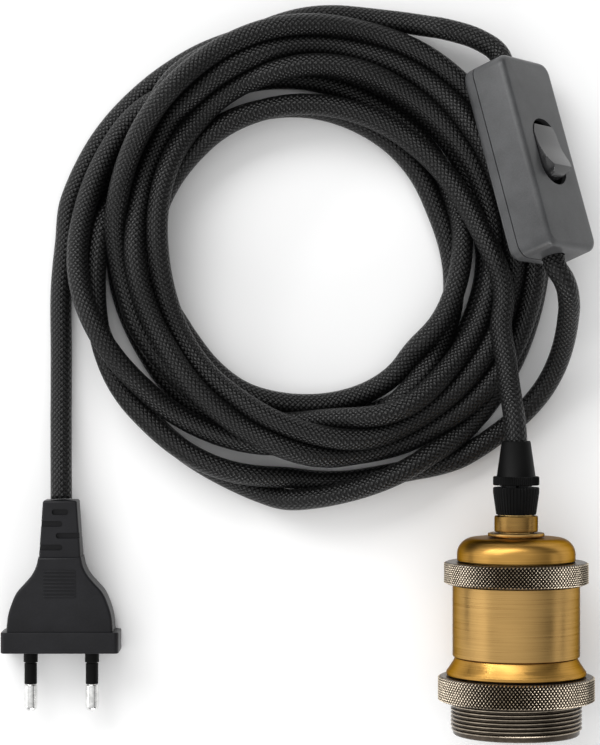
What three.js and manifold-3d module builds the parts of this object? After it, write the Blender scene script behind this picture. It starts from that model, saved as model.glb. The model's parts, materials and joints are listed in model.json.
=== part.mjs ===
// Pendant cord set: a screw lamp holder on a round textile cord, a coil of that cord with an
// in-line rocker switch on it, and a flat two-pin plug at its end. Millimetres, +Z up.
// The lamp holder lies along Y with its mouth towards -Y. The origin is under its middle,
// on the surface that everything lies on.
import * as THREE from 'three';
import { mergeVertices } from 'three/addons/utils/BufferGeometryUtils.js';
import Module from 'manifold-3d';

const wasm = await Module();
wasm.setup();

// Clearance between pieces that touch
const GAP = 0.3;

// Lamp holder, outside
const THREAD_RADIUS = 19.4;
const THREAD_DEPTH = 0.7;
const THREAD_PITCH = 1.4;
const THREAD_LENGTH = 9.9;
const SLEEVE_RADIUS = 17.0;
const SLEEVE_WALL = 1.2;
const LOWER_RING_WALL = 3.55;
const LOWER_RING_WIDTH = 7.3;
const UPPER_RING_WALL = 4.15;
const UPPER_RING_WIDTH = 6.5;
const RING_EDGE = 1.0;
const KNURL_DEPTH = 0.8;
const KNURL_DIAMONDS = 28;
const KNURL_ROWS = 3;
const COLLAR_WIDE_RADIUS = 20.7;
const COLLAR_NECK_RADIUS = 18.1;
const COLLAR_WIDTH = 5.2;
const BODY_RADIUS = 18.85;
const BODY_LENGTH = 21.2;
const DOME_RADIUS = 17.55;
const DOME_HEIGHT = 6.9;
const DOME_SHOULDER = 5.0;
const DOME_WALL = 1.2;
const SPIGOT_LENGTH = 3.2;
const LEDGE_RADIUS = 8.4;
const LEDGE_THICKNESS = 1.1;
const NECK_RADIUS = 6.45;
const NECK_LENGTH = 4.8;

// Cord grip on top of the lamp holder
const GRIP_FOOT_RADIUS = 5.95;
const GRIP_TOP_RADIUS = 6.85;
const GRIP_BODY_LENGTH = 8.1;
const GRIP_RIBS = 20;
const GRIP_RIB_DEPTH = 0.5;
const GRIP_FLANGE_LENGTH = 2.6;
const GRIP_CONE_RADIUS = 5.75;
const GRIP_END_RADIUS = 4.2;
const GRIP_CONE_LENGTH = 10.5;
const GRIP_CAP_WALL = 5.5;
const COLLET_RADIUS = 4.7;
const COLLET_SLOT = 0.8;

// Lamp holder, inside
const NIPPLE_RADIUS = 4.95;
const NIPPLE_BORE = 3.6;
const NIPPLE_REACH = 5.0;
const NUT_FLATS = 13.0;
const NUT_THICKNESS = 2.2;
const STRAP_HALF_LENGTH = 11.0;
const STRAP_HALF_WIDTH = 7.5;
const STRAP_THICKNESS = 1.5;
const CORE_RECESS = 2.5;
const SOCKET_DEPTH = 28.0;
const CORE_FLOOR = 9.0;
const SCREW_CREST_RADIUS = 13.4;
const SCREW_ROOT_RADIUS = 12.3;
const SCREW_PITCH = 3.6;
const SCREW_TURNS = 4;
const SCREW_WALL = 0.4;
const SCREW_FLANGE_BORE = 11.2;
const CONTACT_WIDTH = 6.0;
const CONTACT_THICKNESS = 0.6;
const CONTACT_RISE = 6.4;
const RIVET_RADIUS = 1.4;
const SHELL_RIVET_RADIUS = 0.6;
const TERMINAL_WIDTH = 6.0;
const TERMINAL_HEIGHT = 4.8;
const TERMINAL_INNER = 6.5;
const TERMINAL_OUTER = 11.0;
const CORE_SCREW_PLACE = 8.5;
const CORE_SCREW_RADIUS = 1.5;
const CORE_SCREW_HEAD = 2.3;
const SCREW_HEAD_HEIGHT = 1.6;

// Cord and its two insulated wires
const CORD_RADIUS = 3.25;
const WIRE_RADIUS = 1.1;
const WIRE_OFFSET = 1.5;
const COIL_CENTRE = [-63.2, 98.1];
const COIL_INNER_RADIUS = 40.0;
const COIL_OUTER_RADIUS = 76.0;
const COIL_HEIGHT = 18.0;

// In-line switch: where it leans on the coil, and its case
const SWITCH_CENTRE = [4.3, 126.7, 20.0];
const SWITCH_TURN = -4.2;
const SWITCH_ROLL = 49.8;
const SWITCH_PITCH = -22.4;
const SWITCH_LENGTH = 61.0;
const SWITCH_WIDTH = 26.0;
const SWITCH_HEIGHT = 15.0;
const SWITCH_CORNER = 4.0;
const SWITCH_ROUNDING = 1.8;
const SWITCH_TAPER = 0.04;
const SWITCH_WALL = 1.6;
const SWITCH_SPLIT = 3.9;
const SWITCH_CORD_HEIGHT = 6.8;
const SWITCH_CORD_INSET = 7.5;
const CLAMP_INSET = 3.0;
const CLAMP_WIDTH = 3.4;
const CASE_SCREW_PLACE = [-7.0, 20.5];
const CASE_SCREW_RADIUS = 1.3;
const CASE_SCREW_HEAD = 1.9;
const CASE_SCREW_LENGTH = 9.0;

// Rocker and the contact blade that it tips
const ROCKER_LENGTH = 18.8;
const ROCKER_WIDTH = 11.6;
const ROCKER_TILT = 12.0;
const ROCKER_RISE = 6.2;
const ROCKER_DIP = 5.5;
const ROCKER_END_SLOPE = 1.8;
const ROCKER_DEPTH = 2.0;
const ROCKER_AXIS_DEPTH = 4.35;
const AXLE_RADIUS = 1.2;
const AXLE_LENGTH = 1.6;
const LUG_WIDTH = 1.7;
const PLUNGER_RADIUS = 1.2;
const PLUNGER_LENGTH = 2.4;
const PLUNGER_TIP = 0.5;
const PLUNGER_WELL = 1.5;
const SPRING_LENGTH = 3.0;
const SPRING_WIRE = 0.25;
const SPRING_TURNS = 4;
const BLADE_TILT = 5.5;
const BLADE_LENGTH = 16.0;
const BLADE_WIDTH = 4.0;
const BLADE_THICKNESS = 0.6;
const CONTACT_PLATE = 0.8;
const SWITCH_TERMINAL_NEAR = 13.0;
const SWITCH_TERMINAL_FAR = 19.0;
const SWITCH_TERMINAL_WIDTH = 7.0;
const SWITCH_TERMINAL_HEIGHT = 4.4;
const LINK_PLACE = 8.1;
const LINK_WIDTH = 3.4;
const LINK_LENGTH = 18.0;
const WIRE_SCREW_RADIUS = 1.1;
const WIRE_SCREW_HEAD = 1.7;

// Plug, from the front of its flange
const PLUG_PLACE = [-136.5, -20.9];
const FLANGE_WIDTH = 35.6;
const FLANGE_THICKNESS = 13.7;
const FLANGE_LENGTH = 6.4;
const FLANGE_CORNER = 3.0;
const PLUG_THICKNESS = 12.0;
const PLUG_ROUNDING = 2.0;
const PLUG_HALF_WIDTHS = [[16.2, 3.6], [15.4, 12.7], [13.1, 18.1], [8.6, 23.0], [6.4, 28.4]];
const TAIL_FOOT_HALF = 6.2;
const TAIL_END_HALF = 5.15;
const TAIL_ROUNDING = 2.0;
const TAIL_START = 27.0;
const TAIL_LENGTH = 19.0;
const TAIL_SLOT = 1.7;
const TAIL_SLOT_START = 31.0;
const TAIL_SLOT_PITCH = 3.55;
const TAIL_SLOTS = [[-7, 0.6], [-1.2, 7], [-7, 0.6], [-2.2, 2.4]];
const TAIL_CORE_HALF = 3.9;
const RIB_WIDTH = 9.7;
const RIB_PITCH = 2.15;
const RIB_COUNT = 5;
const RIB_PLACE = 16.8;
const RIB_HEIGHT = 0.5;
const PIN_SPACING = 18.6;
const PIN_RADIUS = 2.0;
const PIN_LENGTH = 18.2;
const PIN_SHAFT_RADIUS = 1.2;
const PIN_SLEEVE_RADIUS = 1.9;
const PIN_SLEEVE_LENGTH = 9.8;
const PIN_FOOT_RADIUS = 2.15;
const PIN_FOOT_LENGTH = 3.2;
const PIN_INSIDE = 9.0;
const CARRIER_DEPTH = 11.0;
const CARRIER_MARGIN = 3.0;
const CARRIER_WALL = 1.4;

const radians = THREE.MathUtils.degToRad;

// Finishes
function finish(color, roughness, metalness) {
  return new THREE.MeshStandardMaterial({ color, roughness, metalness, flatShading: true });
}
const agedBrass = finish(0xa8813f, 0.35, 1.0);
const darkBronze = finish(0x4a4238, 0.42, 1.0);
const steel = finish(0xb9bcc0, 0.3, 1.0);
const plainBrass = finish(0xc9a24f, 0.35, 1.0);
const porcelain = finish(0xe9e6df, 0.4, 0.0);
const blackPlastic = finish(0x17181a, 0.5, 0.0);
const greyPlastic = finish(0x3b3d40, 0.55, 0.0);
const glossPlastic = finish(0x2b2d30, 0.15, 0.0);
const blackCord = finish(0x1a1a1c, 0.85, 0.0);
const brownWire = finish(0x6b3f22, 0.5, 0.0);
const blueWire = finish(0x2a4f8f, 0.5, 0.0);

// One closed mesh with shared corners, and without flat triangles
function closed(geometry) {
  geometry.deleteAttribute('normal');
  geometry.deleteAttribute('uv');
  const merged = mergeVertices(geometry, 1e-4);
  const corners = merged.index.array;
  const kept = [];
  for (let i = 0; i < corners.length; i += 3) {
    const [a, b, c] = [corners[i], corners[i + 1], corners[i + 2]];
    if (a !== b && b !== c && a !== c) kept.push(a, b, c);
  }
  merged.setIndex(kept);
  return merged;
}

// A turned piece: the section goes round counter-clockwise as [radius, along Y]. A relief
// says how much lower the surface is at a column and row of the section.
function turned(section, sides, relief = null) {
  const onAxis = section[0][0] === 0;
  const points = section.map(([radius, along]) => new THREE.Vector2(radius, along));
  if (!onAxis) points.push(points[0].clone());
  const geometry = new THREE.LatheGeometry(points, sides);
  if (relief) {
    const place = geometry.getAttribute('position');
    for (let i = 0; i < place.count; i += 1) {
      const column = Math.floor(i / points.length) % sides;
      const row = i % points.length;
      const radius = Math.hypot(place.getX(i), place.getZ(i));
      const factor = (radius - relief(column, row)) / radius;
      place.setXYZ(i, place.getX(i) * factor, place.getY(i), place.getZ(i) * factor);
    }
  }
  return closed(geometry);
}

// A round rod along x, y or z, from one place to another
function rod(radius, from, to, axis, sides = 12) {
  const geometry = new THREE.CylinderGeometry(radius, radius, to - from, sides);
  geometry.translate(0, (from + to) / 2, 0);
  if (axis === 'x') geometry.rotateZ(-Math.PI / 2);
  if (axis === 'z') geometry.rotateX(Math.PI / 2);
  return closed(geometry);
}

function block(x, y, z) {
  const geometry = new THREE.BoxGeometry(x[1] - x[0], y[1] - y[0], z[1] - z[0]);
  geometry.translate((x[0] + x[1]) / 2, (y[0] + y[1]) / 2, (z[0] + z[1]) / 2);
  return closed(geometry);
}

// A flat outline with round corners, centred, of a width and a length
function roundedOutline(width, length, corner) {
  const x = width / 2 - corner;
  const y = length / 2 - corner;
  const outline = new THREE.Shape();
  outline.absarc(x, y, corner, 0, Math.PI / 2);
  outline.absarc(-x, y, corner, Math.PI / 2, Math.PI);
  outline.absarc(-x, -y, corner, Math.PI, 1.5 * Math.PI);
  outline.absarc(x, -y, corner, 1.5 * Math.PI, 2 * Math.PI);
  return outline;
}

// An outline raised along Z, with its edges rounded by a number of steps
function raised(outline, from, to, rounding = 0, steps = 2) {
  const geometry = new THREE.ExtrudeGeometry(outline, {
    depth: to - from - 2 * rounding,
    bevelEnabled: rounding > 0,
    bevelThickness: rounding,
    bevelSize: rounding,
    bevelOffset: -rounding,
    bevelSegments: steps,
    curveSegments: 4,
  });
  geometry.translate(0, 0, from + rounding);
  return closed(geometry);
}

function polygon(points) {
  return new THREE.Shape(points.map(([x, y]) => new THREE.Vector2(x, y)));
}

// A tube through hand-chosen points
function tube(points, radius, sides, steps) {
  const path = new THREE.CatmullRomCurve3(points.map((point) => new THREE.Vector3(...point)));
  const section = new THREE.Shape();
  for (let i = 0; i < sides; i += 1) {
    const angle = (2 * Math.PI * i) / sides;
    const corner = [radius * Math.cos(angle), radius * Math.sin(angle)];
    if (i === 0) section.moveTo(...corner);
    else section.lineTo(...corner);
  }
  return closed(new THREE.ExtrudeGeometry(section, { extrudePath: path, steps, bevelEnabled: false }));
}

// Joins and cuts
function toSolid(geometry) {
  const vertProperties = new Float32Array(geometry.getAttribute('position').array);
  const triVerts = new Uint32Array(geometry.index.array);
  return new wasm.Manifold(new wasm.Mesh({ numProp: 3, vertProperties, triVerts }));
}

function toGeometry(solid) {
  const mesh = solid.getMesh();
  const geometry = new THREE.BufferGeometry();
  geometry.setAttribute('position', new THREE.BufferAttribute(new Float32Array(mesh.vertProperties), 3));
  geometry.setIndex(Array.from(mesh.triVerts));
  return geometry;
}

function joined(...pieces) {
  return toGeometry(pieces.map(toSolid).reduce((whole, piece) => whole.add(piece)));
}

function cut(piece, ...tools) {
  return toGeometry(tools.map(toSolid).reduce((left, tool) => left.subtract(tool), toSolid(piece)));
}

function common(piece, other) {
  return toGeometry(toSolid(piece).intersect(toSolid(other)));
}

function node(name, geometry, material) {
  geometry.computeVertexNormals();
  const mesh = new THREE.Mesh(geometry, material);
  mesh.name = name;
  return mesh;
}

// Places along the lamp holder, from the rim of its mouth
const lowerRingStart = THREAD_LENGTH;
const lowerRingEnd = lowerRingStart + LOWER_RING_WIDTH;
const collarStart = lowerRingEnd + GAP;
const collarEnd = collarStart + COLLAR_WIDTH;
const bodyStart = collarEnd + GAP;
const bodyEnd = bodyStart + BODY_LENGTH;
const upperRingStart = bodyEnd + GAP;
const upperRingEnd = upperRingStart + UPPER_RING_WIDTH;
const domeStart = upperRingEnd + GAP;
const domeEnd = domeStart + DOME_HEIGHT;
const ledgeStart = domeEnd + GAP;
const ledgeEnd = ledgeStart + LEDGE_THICKNESS;
const neckStart = ledgeEnd + GAP;
const neckEnd = neckStart + NECK_LENGTH;
const gripStart = neckEnd + GAP;
const gripBodyEnd = gripStart + GRIP_BODY_LENGTH;
const capStart = gripBodyEnd + 2 * GAP;
const flangeEnd = capStart + GRIP_FLANGE_LENGTH;
const holderLength = flangeEnd + GRIP_CONE_LENGTH;
const mouthY = -holderLength / 2;
const lowerRingBore = THREAD_RADIUS + GAP;
const lowerRingRadius = lowerRingBore + LOWER_RING_WALL;
const axisHeight = lowerRingRadius;

const sleeveBore = SLEEVE_RADIUS - SLEEVE_WALL;
const ringBore = SLEEVE_RADIUS + GAP;
const upperRingRadius = ringBore + UPPER_RING_WALL;
const nippleHole = NIPPLE_RADIUS + GAP;
const cordHole = CORD_RADIUS + GAP;
const domeInside = domeEnd - DOME_WALL;
const strapEnd = domeInside - GAP;
const strapStart = strapEnd - STRAP_THICKNESS;
const nutEnd = strapStart - GAP;
const nutStart = nutEnd - NUT_THICKNESS;
const nippleStart = nutStart - GAP;
const nippleEnd = gripStart + NIPPLE_REACH;
const cordEnd = nippleEnd + GAP;
const floorStart = CORE_RECESS + SOCKET_DEPTH;
const floorEnd = floorStart + CORE_FLOOR;
const coreRadius = sleeveBore - GAP;
const socketBore = SCREW_CREST_RADIUS + SCREW_WALL + GAP;
const terminalStart = floorEnd + GAP;
const terminalEnd = terminalStart + TERMINAL_HEIGHT;
const rivetHole = RIVET_RADIUS + GAP;
const shellRivetPlace = (SCREW_CREST_RADIUS + SCREW_FLANGE_BORE) / 2;
const shellEnd = floorStart - GAP;

function threadedSleeve() {
  const root = THREAD_RADIUS - THREAD_DEPTH;
  const ridges = Math.floor((THREAD_LENGTH - GAP) / THREAD_PITCH);
  const section = [[sleeveBore, 0], [root, 0]];
  for (let i = 0; i < ridges; i += 1) {
    section.push([THREAD_RADIUS, (i + 0.5) * THREAD_PITCH], [root, (i + 1) * THREAD_PITCH]);
  }
  section.push([THREAD_RADIUS, THREAD_LENGTH], [THREAD_RADIUS, lowerRingEnd]);
  section.push([SLEEVE_RADIUS, lowerRingEnd], [SLEEVE_RADIUS, upperRingEnd], [sleeveBore, upperRingEnd]);
  return turned(section, 24);
}

// A screw ring with a rim of diamonds: rim points are high and low in turn
function knurledRing(radius, bore, start, width) {
  const section = [[bore, start], [radius - RING_EDGE, start]];
  const firstRow = section.length;
  for (let i = 0; i <= KNURL_ROWS; i += 1) {
    section.push([radius, start + RING_EDGE / 2 + ((width - RING_EDGE) * i) / KNURL_ROWS]);
  }
  section.push([radius - RING_EDGE, start + width], [bore, start + width]);
  const relief = (column, row) => {
    const onRim = row >= firstRow && row <= firstRow + KNURL_ROWS;
    return onRim && (column + row - firstRow) % 2 === 1 ? KNURL_DEPTH : 0;
  };
  return turned(section, 2 * KNURL_DIAMONDS, relief);
}

function flareCollar() {
  const steps = 5;
  const section = [[ringBore, collarStart], [COLLAR_WIDE_RADIUS, collarStart]];
  for (let i = 0; i <= steps; i += 1) {
    const share = i / steps;
    const drop = Math.sin((share * Math.PI) / 2);
    const radius = COLLAR_WIDE_RADIUS - (COLLAR_WIDE_RADIUS - COLLAR_NECK_RADIUS) * drop;
    section.push([radius, collarStart + COLLAR_WIDTH * (0.2 + 0.8 * share)]);
  }
  section.push([ringBore, collarEnd]);
  return turned(section, 32);
}

function shellBody() {
  return turned([[ringBore, bodyStart], [BODY_RADIUS, bodyStart], [BODY_RADIUS, bodyEnd],
    [ringBore, bodyEnd]], 36);
}

function domeCap() {
  const spigot = sleeveBore - GAP;
  const inside = spigot - DOME_WALL;
  const spigotStart = domeStart - SPIGOT_LENGTH;
  const shoulderStart = domeEnd - DOME_SHOULDER;
  const steps = 5;
  const section = [[inside, spigotStart], [spigot, spigotStart], [spigot, domeStart],
    [DOME_RADIUS, domeStart]];
  for (let i = 0; i <= steps; i += 1) {
    const angle = ((i / steps) * Math.PI) / 2;
    const radius = DOME_RADIUS - DOME_SHOULDER * (1 - Math.cos(angle));
    section.push([radius, shoulderStart + DOME_SHOULDER * Math.sin(angle)]);
  }
  section.push([nippleHole, domeEnd], [nippleHole, domeInside]);
  section.push([inside - 2 * DOME_WALL, domeInside], [inside, domeInside - 2 * DOME_WALL]);
  return turned(section, 28);
}

function ledgeWasher() {
  return turned([[nippleHole, ledgeStart], [LEDGE_RADIUS, ledgeStart], [LEDGE_RADIUS, ledgeEnd],
    [nippleHole, ledgeEnd]], 24);
}

function neckCollar() {
  return turned([[nippleHole, neckStart], [NECK_RADIUS, neckStart], [NECK_RADIUS, neckEnd],
    [nippleHole, neckEnd]], 24);
}

function nipple() {
  return turned([[NIPPLE_BORE, nippleStart], [NIPPLE_RADIUS, nippleStart], [NIPPLE_RADIUS, nippleEnd],
    [NIPPLE_BORE, nippleEnd]], 16);
}

function nippleNut() {
  const cornerRadius = NUT_FLATS / 2 / Math.cos(Math.PI / 6);
  const hexagon = new THREE.CylinderGeometry(cornerRadius, cornerRadius, NUT_THICKNESS, 6);
  hexagon.rotateY(Math.PI / 6);
  hexagon.translate(0, (nutStart + nutEnd) / 2, 0);
  return cut(closed(hexagon), rod(nippleHole, nutStart - 1, nutEnd + 1, 'y', 16));
}

function coreStrap() {
  const outline = roundedOutline(2 * STRAP_HALF_WIDTH, 2 * STRAP_HALF_LENGTH, STRAP_HALF_WIDTH - 0.5);
  const plate = raised(outline, -strapEnd, -strapStart);
  plate.rotateX(Math.PI / 2);
  const holes = [rod(nippleHole, strapStart - 1, strapEnd + 1, 'y', 16)];
  for (const side of [-1, 1]) {
    const hole = rod(CORE_SCREW_RADIUS + GAP, strapStart - 1, strapEnd + 1, 'y', 10);
    holes.push(hole.translate(0, 0, side * CORE_SCREW_PLACE));
  }
  return cut(plate, ...holes);
}

function ceramicCore() {
  const cup = turned([[0, floorStart], [socketBore, floorStart], [socketBore, CORE_RECESS],
    [coreRadius, CORE_RECESS],
    [coreRadius, floorEnd], [0, floorEnd]], 28);
  const holes = [rod(rivetHole, floorStart - 1, floorEnd + 1, 'y', 10)];
  for (const side of [-1, 1]) {
    const hole = rod(CORE_SCREW_RADIUS + GAP, floorStart - 1, floorEnd + 1, 'y', 10);
    holes.push(hole.translate(0, 0, side * CORE_SCREW_PLACE));
  }
  const shellRivetHole = rod(SHELL_RIVET_RADIUS + GAP, floorStart - 1, floorEnd + 1, 'y', 10);
  holes.push(shellRivetHole.translate(-shellRivetPlace, 0, 0));
  return cut(cup, ...holes);
}

// The Edison thread that the bulb screws into, with a flange that carries it on the ceramic
function screwShell() {
  const step = SCREW_PITCH / 2;
  const threadStart = shellEnd - 2 * step - SCREW_TURNS * SCREW_PITCH;
  const inner = [];
  for (let i = 0; i <= 2 * SCREW_TURNS; i += 1) {
    inner.push([i % 2 === 0 ? SCREW_CREST_RADIUS : SCREW_ROOT_RADIUS, threadStart + i * step]);
  }
  const outer = inner.map(([radius, along]) => [radius + SCREW_WALL, along]);
  const section = [[SCREW_CREST_RADIUS, threadStart - step],
    [SCREW_CREST_RADIUS + SCREW_WALL, threadStart - step]];
  section.push(...outer, [SCREW_CREST_RADIUS + SCREW_WALL, shellEnd], [SCREW_FLANGE_BORE, shellEnd]);
  section.push([SCREW_FLANGE_BORE, shellEnd - SCREW_WALL], [SCREW_CREST_RADIUS, shellEnd - SCREW_WALL]);
  section.push(...inner.reverse());
  const hole = rod(SHELL_RIVET_RADIUS + GAP, shellEnd - 2, shellEnd + 1, 'y', 10);
  return cut(turned(section, 20), hole.translate(-shellRivetPlace, 0, 0));
}

// A rivet along the holder's axis, with a head at each end
function rivet(radius, head, headHeight, from, to) {
  return turned([[0, from - headHeight], [head, from - headHeight], [head, from], [radius, from],
    [radius, to],
    [head, to], [head, to + headHeight], [0, to + headHeight]], 10);
}

function centreContact() {
  const foot = shellEnd - CONTACT_THICKNESS;
  const reach = SCREW_FLANGE_BORE - 2 * CORE_SCREW_HEAD;
  const top = shellEnd - CONTACT_RISE;
  const strip = polygon([[-reach, shellEnd], [-reach, foot], [-reach + 2, top], [reach / 2, top - 1],
    [reach / 2, top - 1 + CONTACT_THICKNESS], [-reach + 2.6, top + CONTACT_THICKNESS], [-reach + 0.7, foot],
    [reach, foot], [reach, shellEnd]]);
  const tongue = raised(strip, -CONTACT_WIDTH / 2, CONTACT_WIDTH / 2);
  return cut(tongue, rod(rivetHole, foot - 0.5, shellEnd + 0.5, 'y', 10));
}

// A terminal block behind the ceramic, with a foot to its rivet at a place across the holder
const terminalMiddleX = (TERMINAL_INNER + TERMINAL_OUTER) / 2;

function holderTerminal(side, rivetPlace, rivetRadius) {
  const near = Math.min(side * TERMINAL_INNER, side * TERMINAL_OUTER);
  const far = Math.max(side * TERMINAL_INNER, side * TERMINAL_OUTER);
  const halfWidth = TERMINAL_WIDTH / 2;
  const margin = rivetRadius + 1.2;
  const foot = [Math.min(near, rivetPlace - margin), Math.max(far, rivetPlace + margin)];
  const body = joined(block([near, far], [terminalStart, terminalEnd], [-halfWidth, halfWidth]),
    block(foot, [terminalStart, terminalStart + CONTACT_PLATE], [-halfWidth, halfWidth]));
  const screwHole = rod(WIRE_SCREW_RADIUS + GAP, terminalStart + CONTACT_PLATE, terminalEnd + 1, 'y', 10);
  const rivetPass = rod(rivetRadius + GAP, terminalStart - 1, terminalEnd + 1, 'y', 10);
  return cut(body, screwHole.translate(side * terminalMiddleX, 0, 0), rivetPass.translate(rivetPlace, 0, 0));
}

// A cheese-head screw along an axis: the head lies at the lower end
function screw(radius, head, headHeight, length) {
  return turned([[0, 0], [head, 0], [head, headHeight], [radius, headHeight], [radius, headHeight + length],
    [0, headHeight + length]], 10);
}

function terminalScrew(side) {
  const length = TERMINAL_HEIGHT - CONTACT_PLATE - GAP;
  const piece = screw(WIRE_SCREW_RADIUS, WIRE_SCREW_HEAD, 1.0, length);
  piece.rotateX(Math.PI);
  return piece.translate(side * terminalMiddleX, terminalEnd + GAP + 1.0, 0);
}

function coreScrew(side) {
  const seat = shellEnd;
  const length = strapEnd - seat;
  const piece = screw(CORE_SCREW_RADIUS, CORE_SCREW_HEAD, SCREW_HEAD_HEIGHT, length);
  return piece.translate(0, seat - SCREW_HEAD_HEIGHT, side * CORE_SCREW_PLACE);
}

// The cord grip: a ribbed body on the nipple, a slit collet and a cap that squeezes it
function gripBody() {
  const bore = nippleHole;
  const rows = [[bore, gripStart], [GRIP_FOOT_RADIUS, gripStart], [GRIP_TOP_RADIUS, gripBodyEnd - 1.5],
    [GRIP_TOP_RADIUS, gripBodyEnd], [bore, gripBodyEnd]];
  const relief = (column, row) => (row >= 1 && row <= 3 && column % 2 === 1 ? GRIP_RIB_DEPTH : 0);
  return turned(rows, 2 * GRIP_RIBS, relief);
}

function gripCap() {
  const bore = nippleHole;
  const taperEnd = holderLength - GRIP_CAP_WALL;
  return turned([[bore, capStart], [GRIP_TOP_RADIUS, capStart], [GRIP_TOP_RADIUS, flangeEnd],
    [GRIP_CONE_RADIUS, flangeEnd], [GRIP_END_RADIUS, holderLength], [cordHole, holderLength],
    [cordHole, taperEnd + 1], [COLLET_RADIUS + GAP - 0.5, taperEnd], [bore, capStart + 3]], 24);
}

function gripCollet() {
  const from = cordEnd;
  const to = holderLength - 6.0;
  const shoulder = capStart + 2.0;
  const ring = turned([[cordHole, from], [COLLET_RADIUS, from], [COLLET_RADIUS, shoulder],
    [COLLET_RADIUS - 0.5, to], [cordHole, to]], 16);
  const halfSlot = COLLET_SLOT / 2;
  const slits = [block([-COLLET_RADIUS, COLLET_RADIUS], [shoulder - 4, to + 1], [-halfSlot, halfSlot]),
    block([-COLLET_SLOT / 2, COLLET_SLOT / 2], [shoulder - 4, to + 1], [-COLLET_RADIUS, COLLET_RADIUS])];
  return cut(ring, ...slits);
}

// A wire from the cord's end through the nipple to the inner side of its terminal
function holderWire(side) {
  const target = side * (TERMINAL_INNER - GAP);
  const out = nippleStart - 1.5;
  const height = terminalEnd - WIRE_RADIUS - 0.2;
  return tube([[side * WIRE_OFFSET, cordEnd - GAP, 0], [side * WIRE_OFFSET, nippleEnd - 4, 0],
    [side * WIRE_OFFSET, nippleStart + 1, 0], [side * (WIRE_OFFSET + 0.4), out, 0],
    [side * (TERMINAL_INNER - 2.2), height + 0.5, 0], [target, height, 0]], WIRE_RADIUS, 6, 12);
}

function buildHolder() {
  const holder = new THREE.Group();
  holder.position.set(0, mouthY, axisHeight);
  const terminalTop = terminalStart + CONTACT_PLATE + GAP;
  holder.add(
    node('threaded_sleeve', threadedSleeve(), darkBronze),
    node('lower_ring', knurledRing(lowerRingRadius, lowerRingBore, lowerRingStart, LOWER_RING_WIDTH),
      darkBronze),
    node('flare_collar', flareCollar(), agedBrass),
    node('shell_body', shellBody(), agedBrass),
    node('upper_ring', knurledRing(upperRingRadius, ringBore, upperRingStart, UPPER_RING_WIDTH), darkBronze),
    node('dome_cap', domeCap(), agedBrass),
    node('ledge_washer', ledgeWasher(), agedBrass),
    node('neck_collar', neckCollar(), agedBrass),
    node('nipple', nipple(), plainBrass),
    node('nipple_nut', nippleNut(), steel),
    node('core_strap', coreStrap(), steel),
    node('ceramic_core', ceramicCore(), porcelain),
    node('screw_shell', screwShell(), plainBrass),
    node('centre_contact', centreContact(), plainBrass),
    node('centre_rivet', rivet(RIVET_RADIUS, 2.2, 0.9, shellEnd - CONTACT_THICKNESS - GAP, terminalTop),
      plainBrass),
    node('shell_rivet', shellRivet(terminalTop), plainBrass),
    node('live_terminal', holderTerminal(1, 0, RIVET_RADIUS), plainBrass),
    node('neutral_terminal', holderTerminal(-1, -shellRivetPlace, SHELL_RIVET_RADIUS), plainBrass),
    node('live_terminal_screw', terminalScrew(1), steel),
    node('neutral_terminal_screw', terminalScrew(-1), steel),
    node('core_screw_upper', coreScrew(1), steel),
    node('core_screw_lower', coreScrew(-1), steel),
    node('grip_body', gripBody(), blackPlastic),
    node('grip_collet', gripCollet(), blackPlastic),
    node('grip_cap', gripCap(), blackPlastic),
    node('holder_live_wire', holderWire(1), brownWire),
    node('holder_neutral_wire', holderWire(-1), blueWire),
  );
  return holder;
}

function shellRivet(top) {
  const piece = rivet(SHELL_RIVET_RADIUS, 0.9, 0.7, shellEnd - SCREW_WALL - GAP, top);
  return piece.translate(-shellRivetPlace, 0, 0);
}

// The switch lies along its own Y, with its rocker on top. Heights count from its middle.
const half = SWITCH_HEIGHT / 2;
const splitHeight = -half + SWITCH_SPLIT;
const roofInside = half - SWITCH_WALL;
const floorInside = -half + SWITCH_WALL;
const insideLength = SWITCH_LENGTH / 2 - SWITCH_WALL;
const cordHeight = -half + SWITCH_CORD_HEIGHT;
const cordInsideEnd = SWITCH_LENGTH / 2 - SWITCH_CORD_INSET;
const clampFar = insideLength - CLAMP_INSET / 2;
const clampNear = clampFar - CLAMP_WIDTH;
const rockerAxis = half - ROCKER_AXIS_DEPTH;
const sinTilt = Math.sin(radians(ROCKER_TILT));
const openingHalf = (ROCKER_LENGTH / 2) * Math.cos(radians(ROCKER_TILT)) + ROCKER_RISE * sinTilt + GAP;
const bladePivot = rockerAxis - plungerReach() - GAP - BLADE_THICKNESS;

function plungerReach() {
  return ROCKER_DEPTH + PLUNGER_LENGTH + PLUNGER_TIP;
}

function taperedCase() {
  const outline = roundedOutline(SWITCH_WIDTH, SWITCH_LENGTH, SWITCH_CORNER);
  const body = raised(outline, -half, half, SWITCH_ROUNDING);
  const place = body.getAttribute('position');
  for (let i = 0; i < place.count; i += 1) {
    const rise = Math.abs(place.getZ(i) - splitHeight) / SWITCH_HEIGHT;
    place.setX(i, place.getX(i) * (1 - SWITCH_TAPER * rise));
  }
  return body;
}

function caseInside() {
  const outline = roundedOutline(SWITCH_WIDTH * (1 - SWITCH_TAPER) - 2 * SWITCH_WALL, 2 * insideLength,
    SWITCH_CORNER - SWITCH_WALL);
  return raised(outline, floorInside, roofInside);
}

function cordPass() {
  return rod(cordHole, -SWITCH_LENGTH, SWITCH_LENGTH, 'y', 12).translate(0, 0, cordHeight);
}

function caseScrewPost(radius, from, to, side) {
  const [x, y] = CASE_SCREW_PLACE;
  return rod(radius, from, to, 'z', 12).translate(x, side * y, 0);
}

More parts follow.
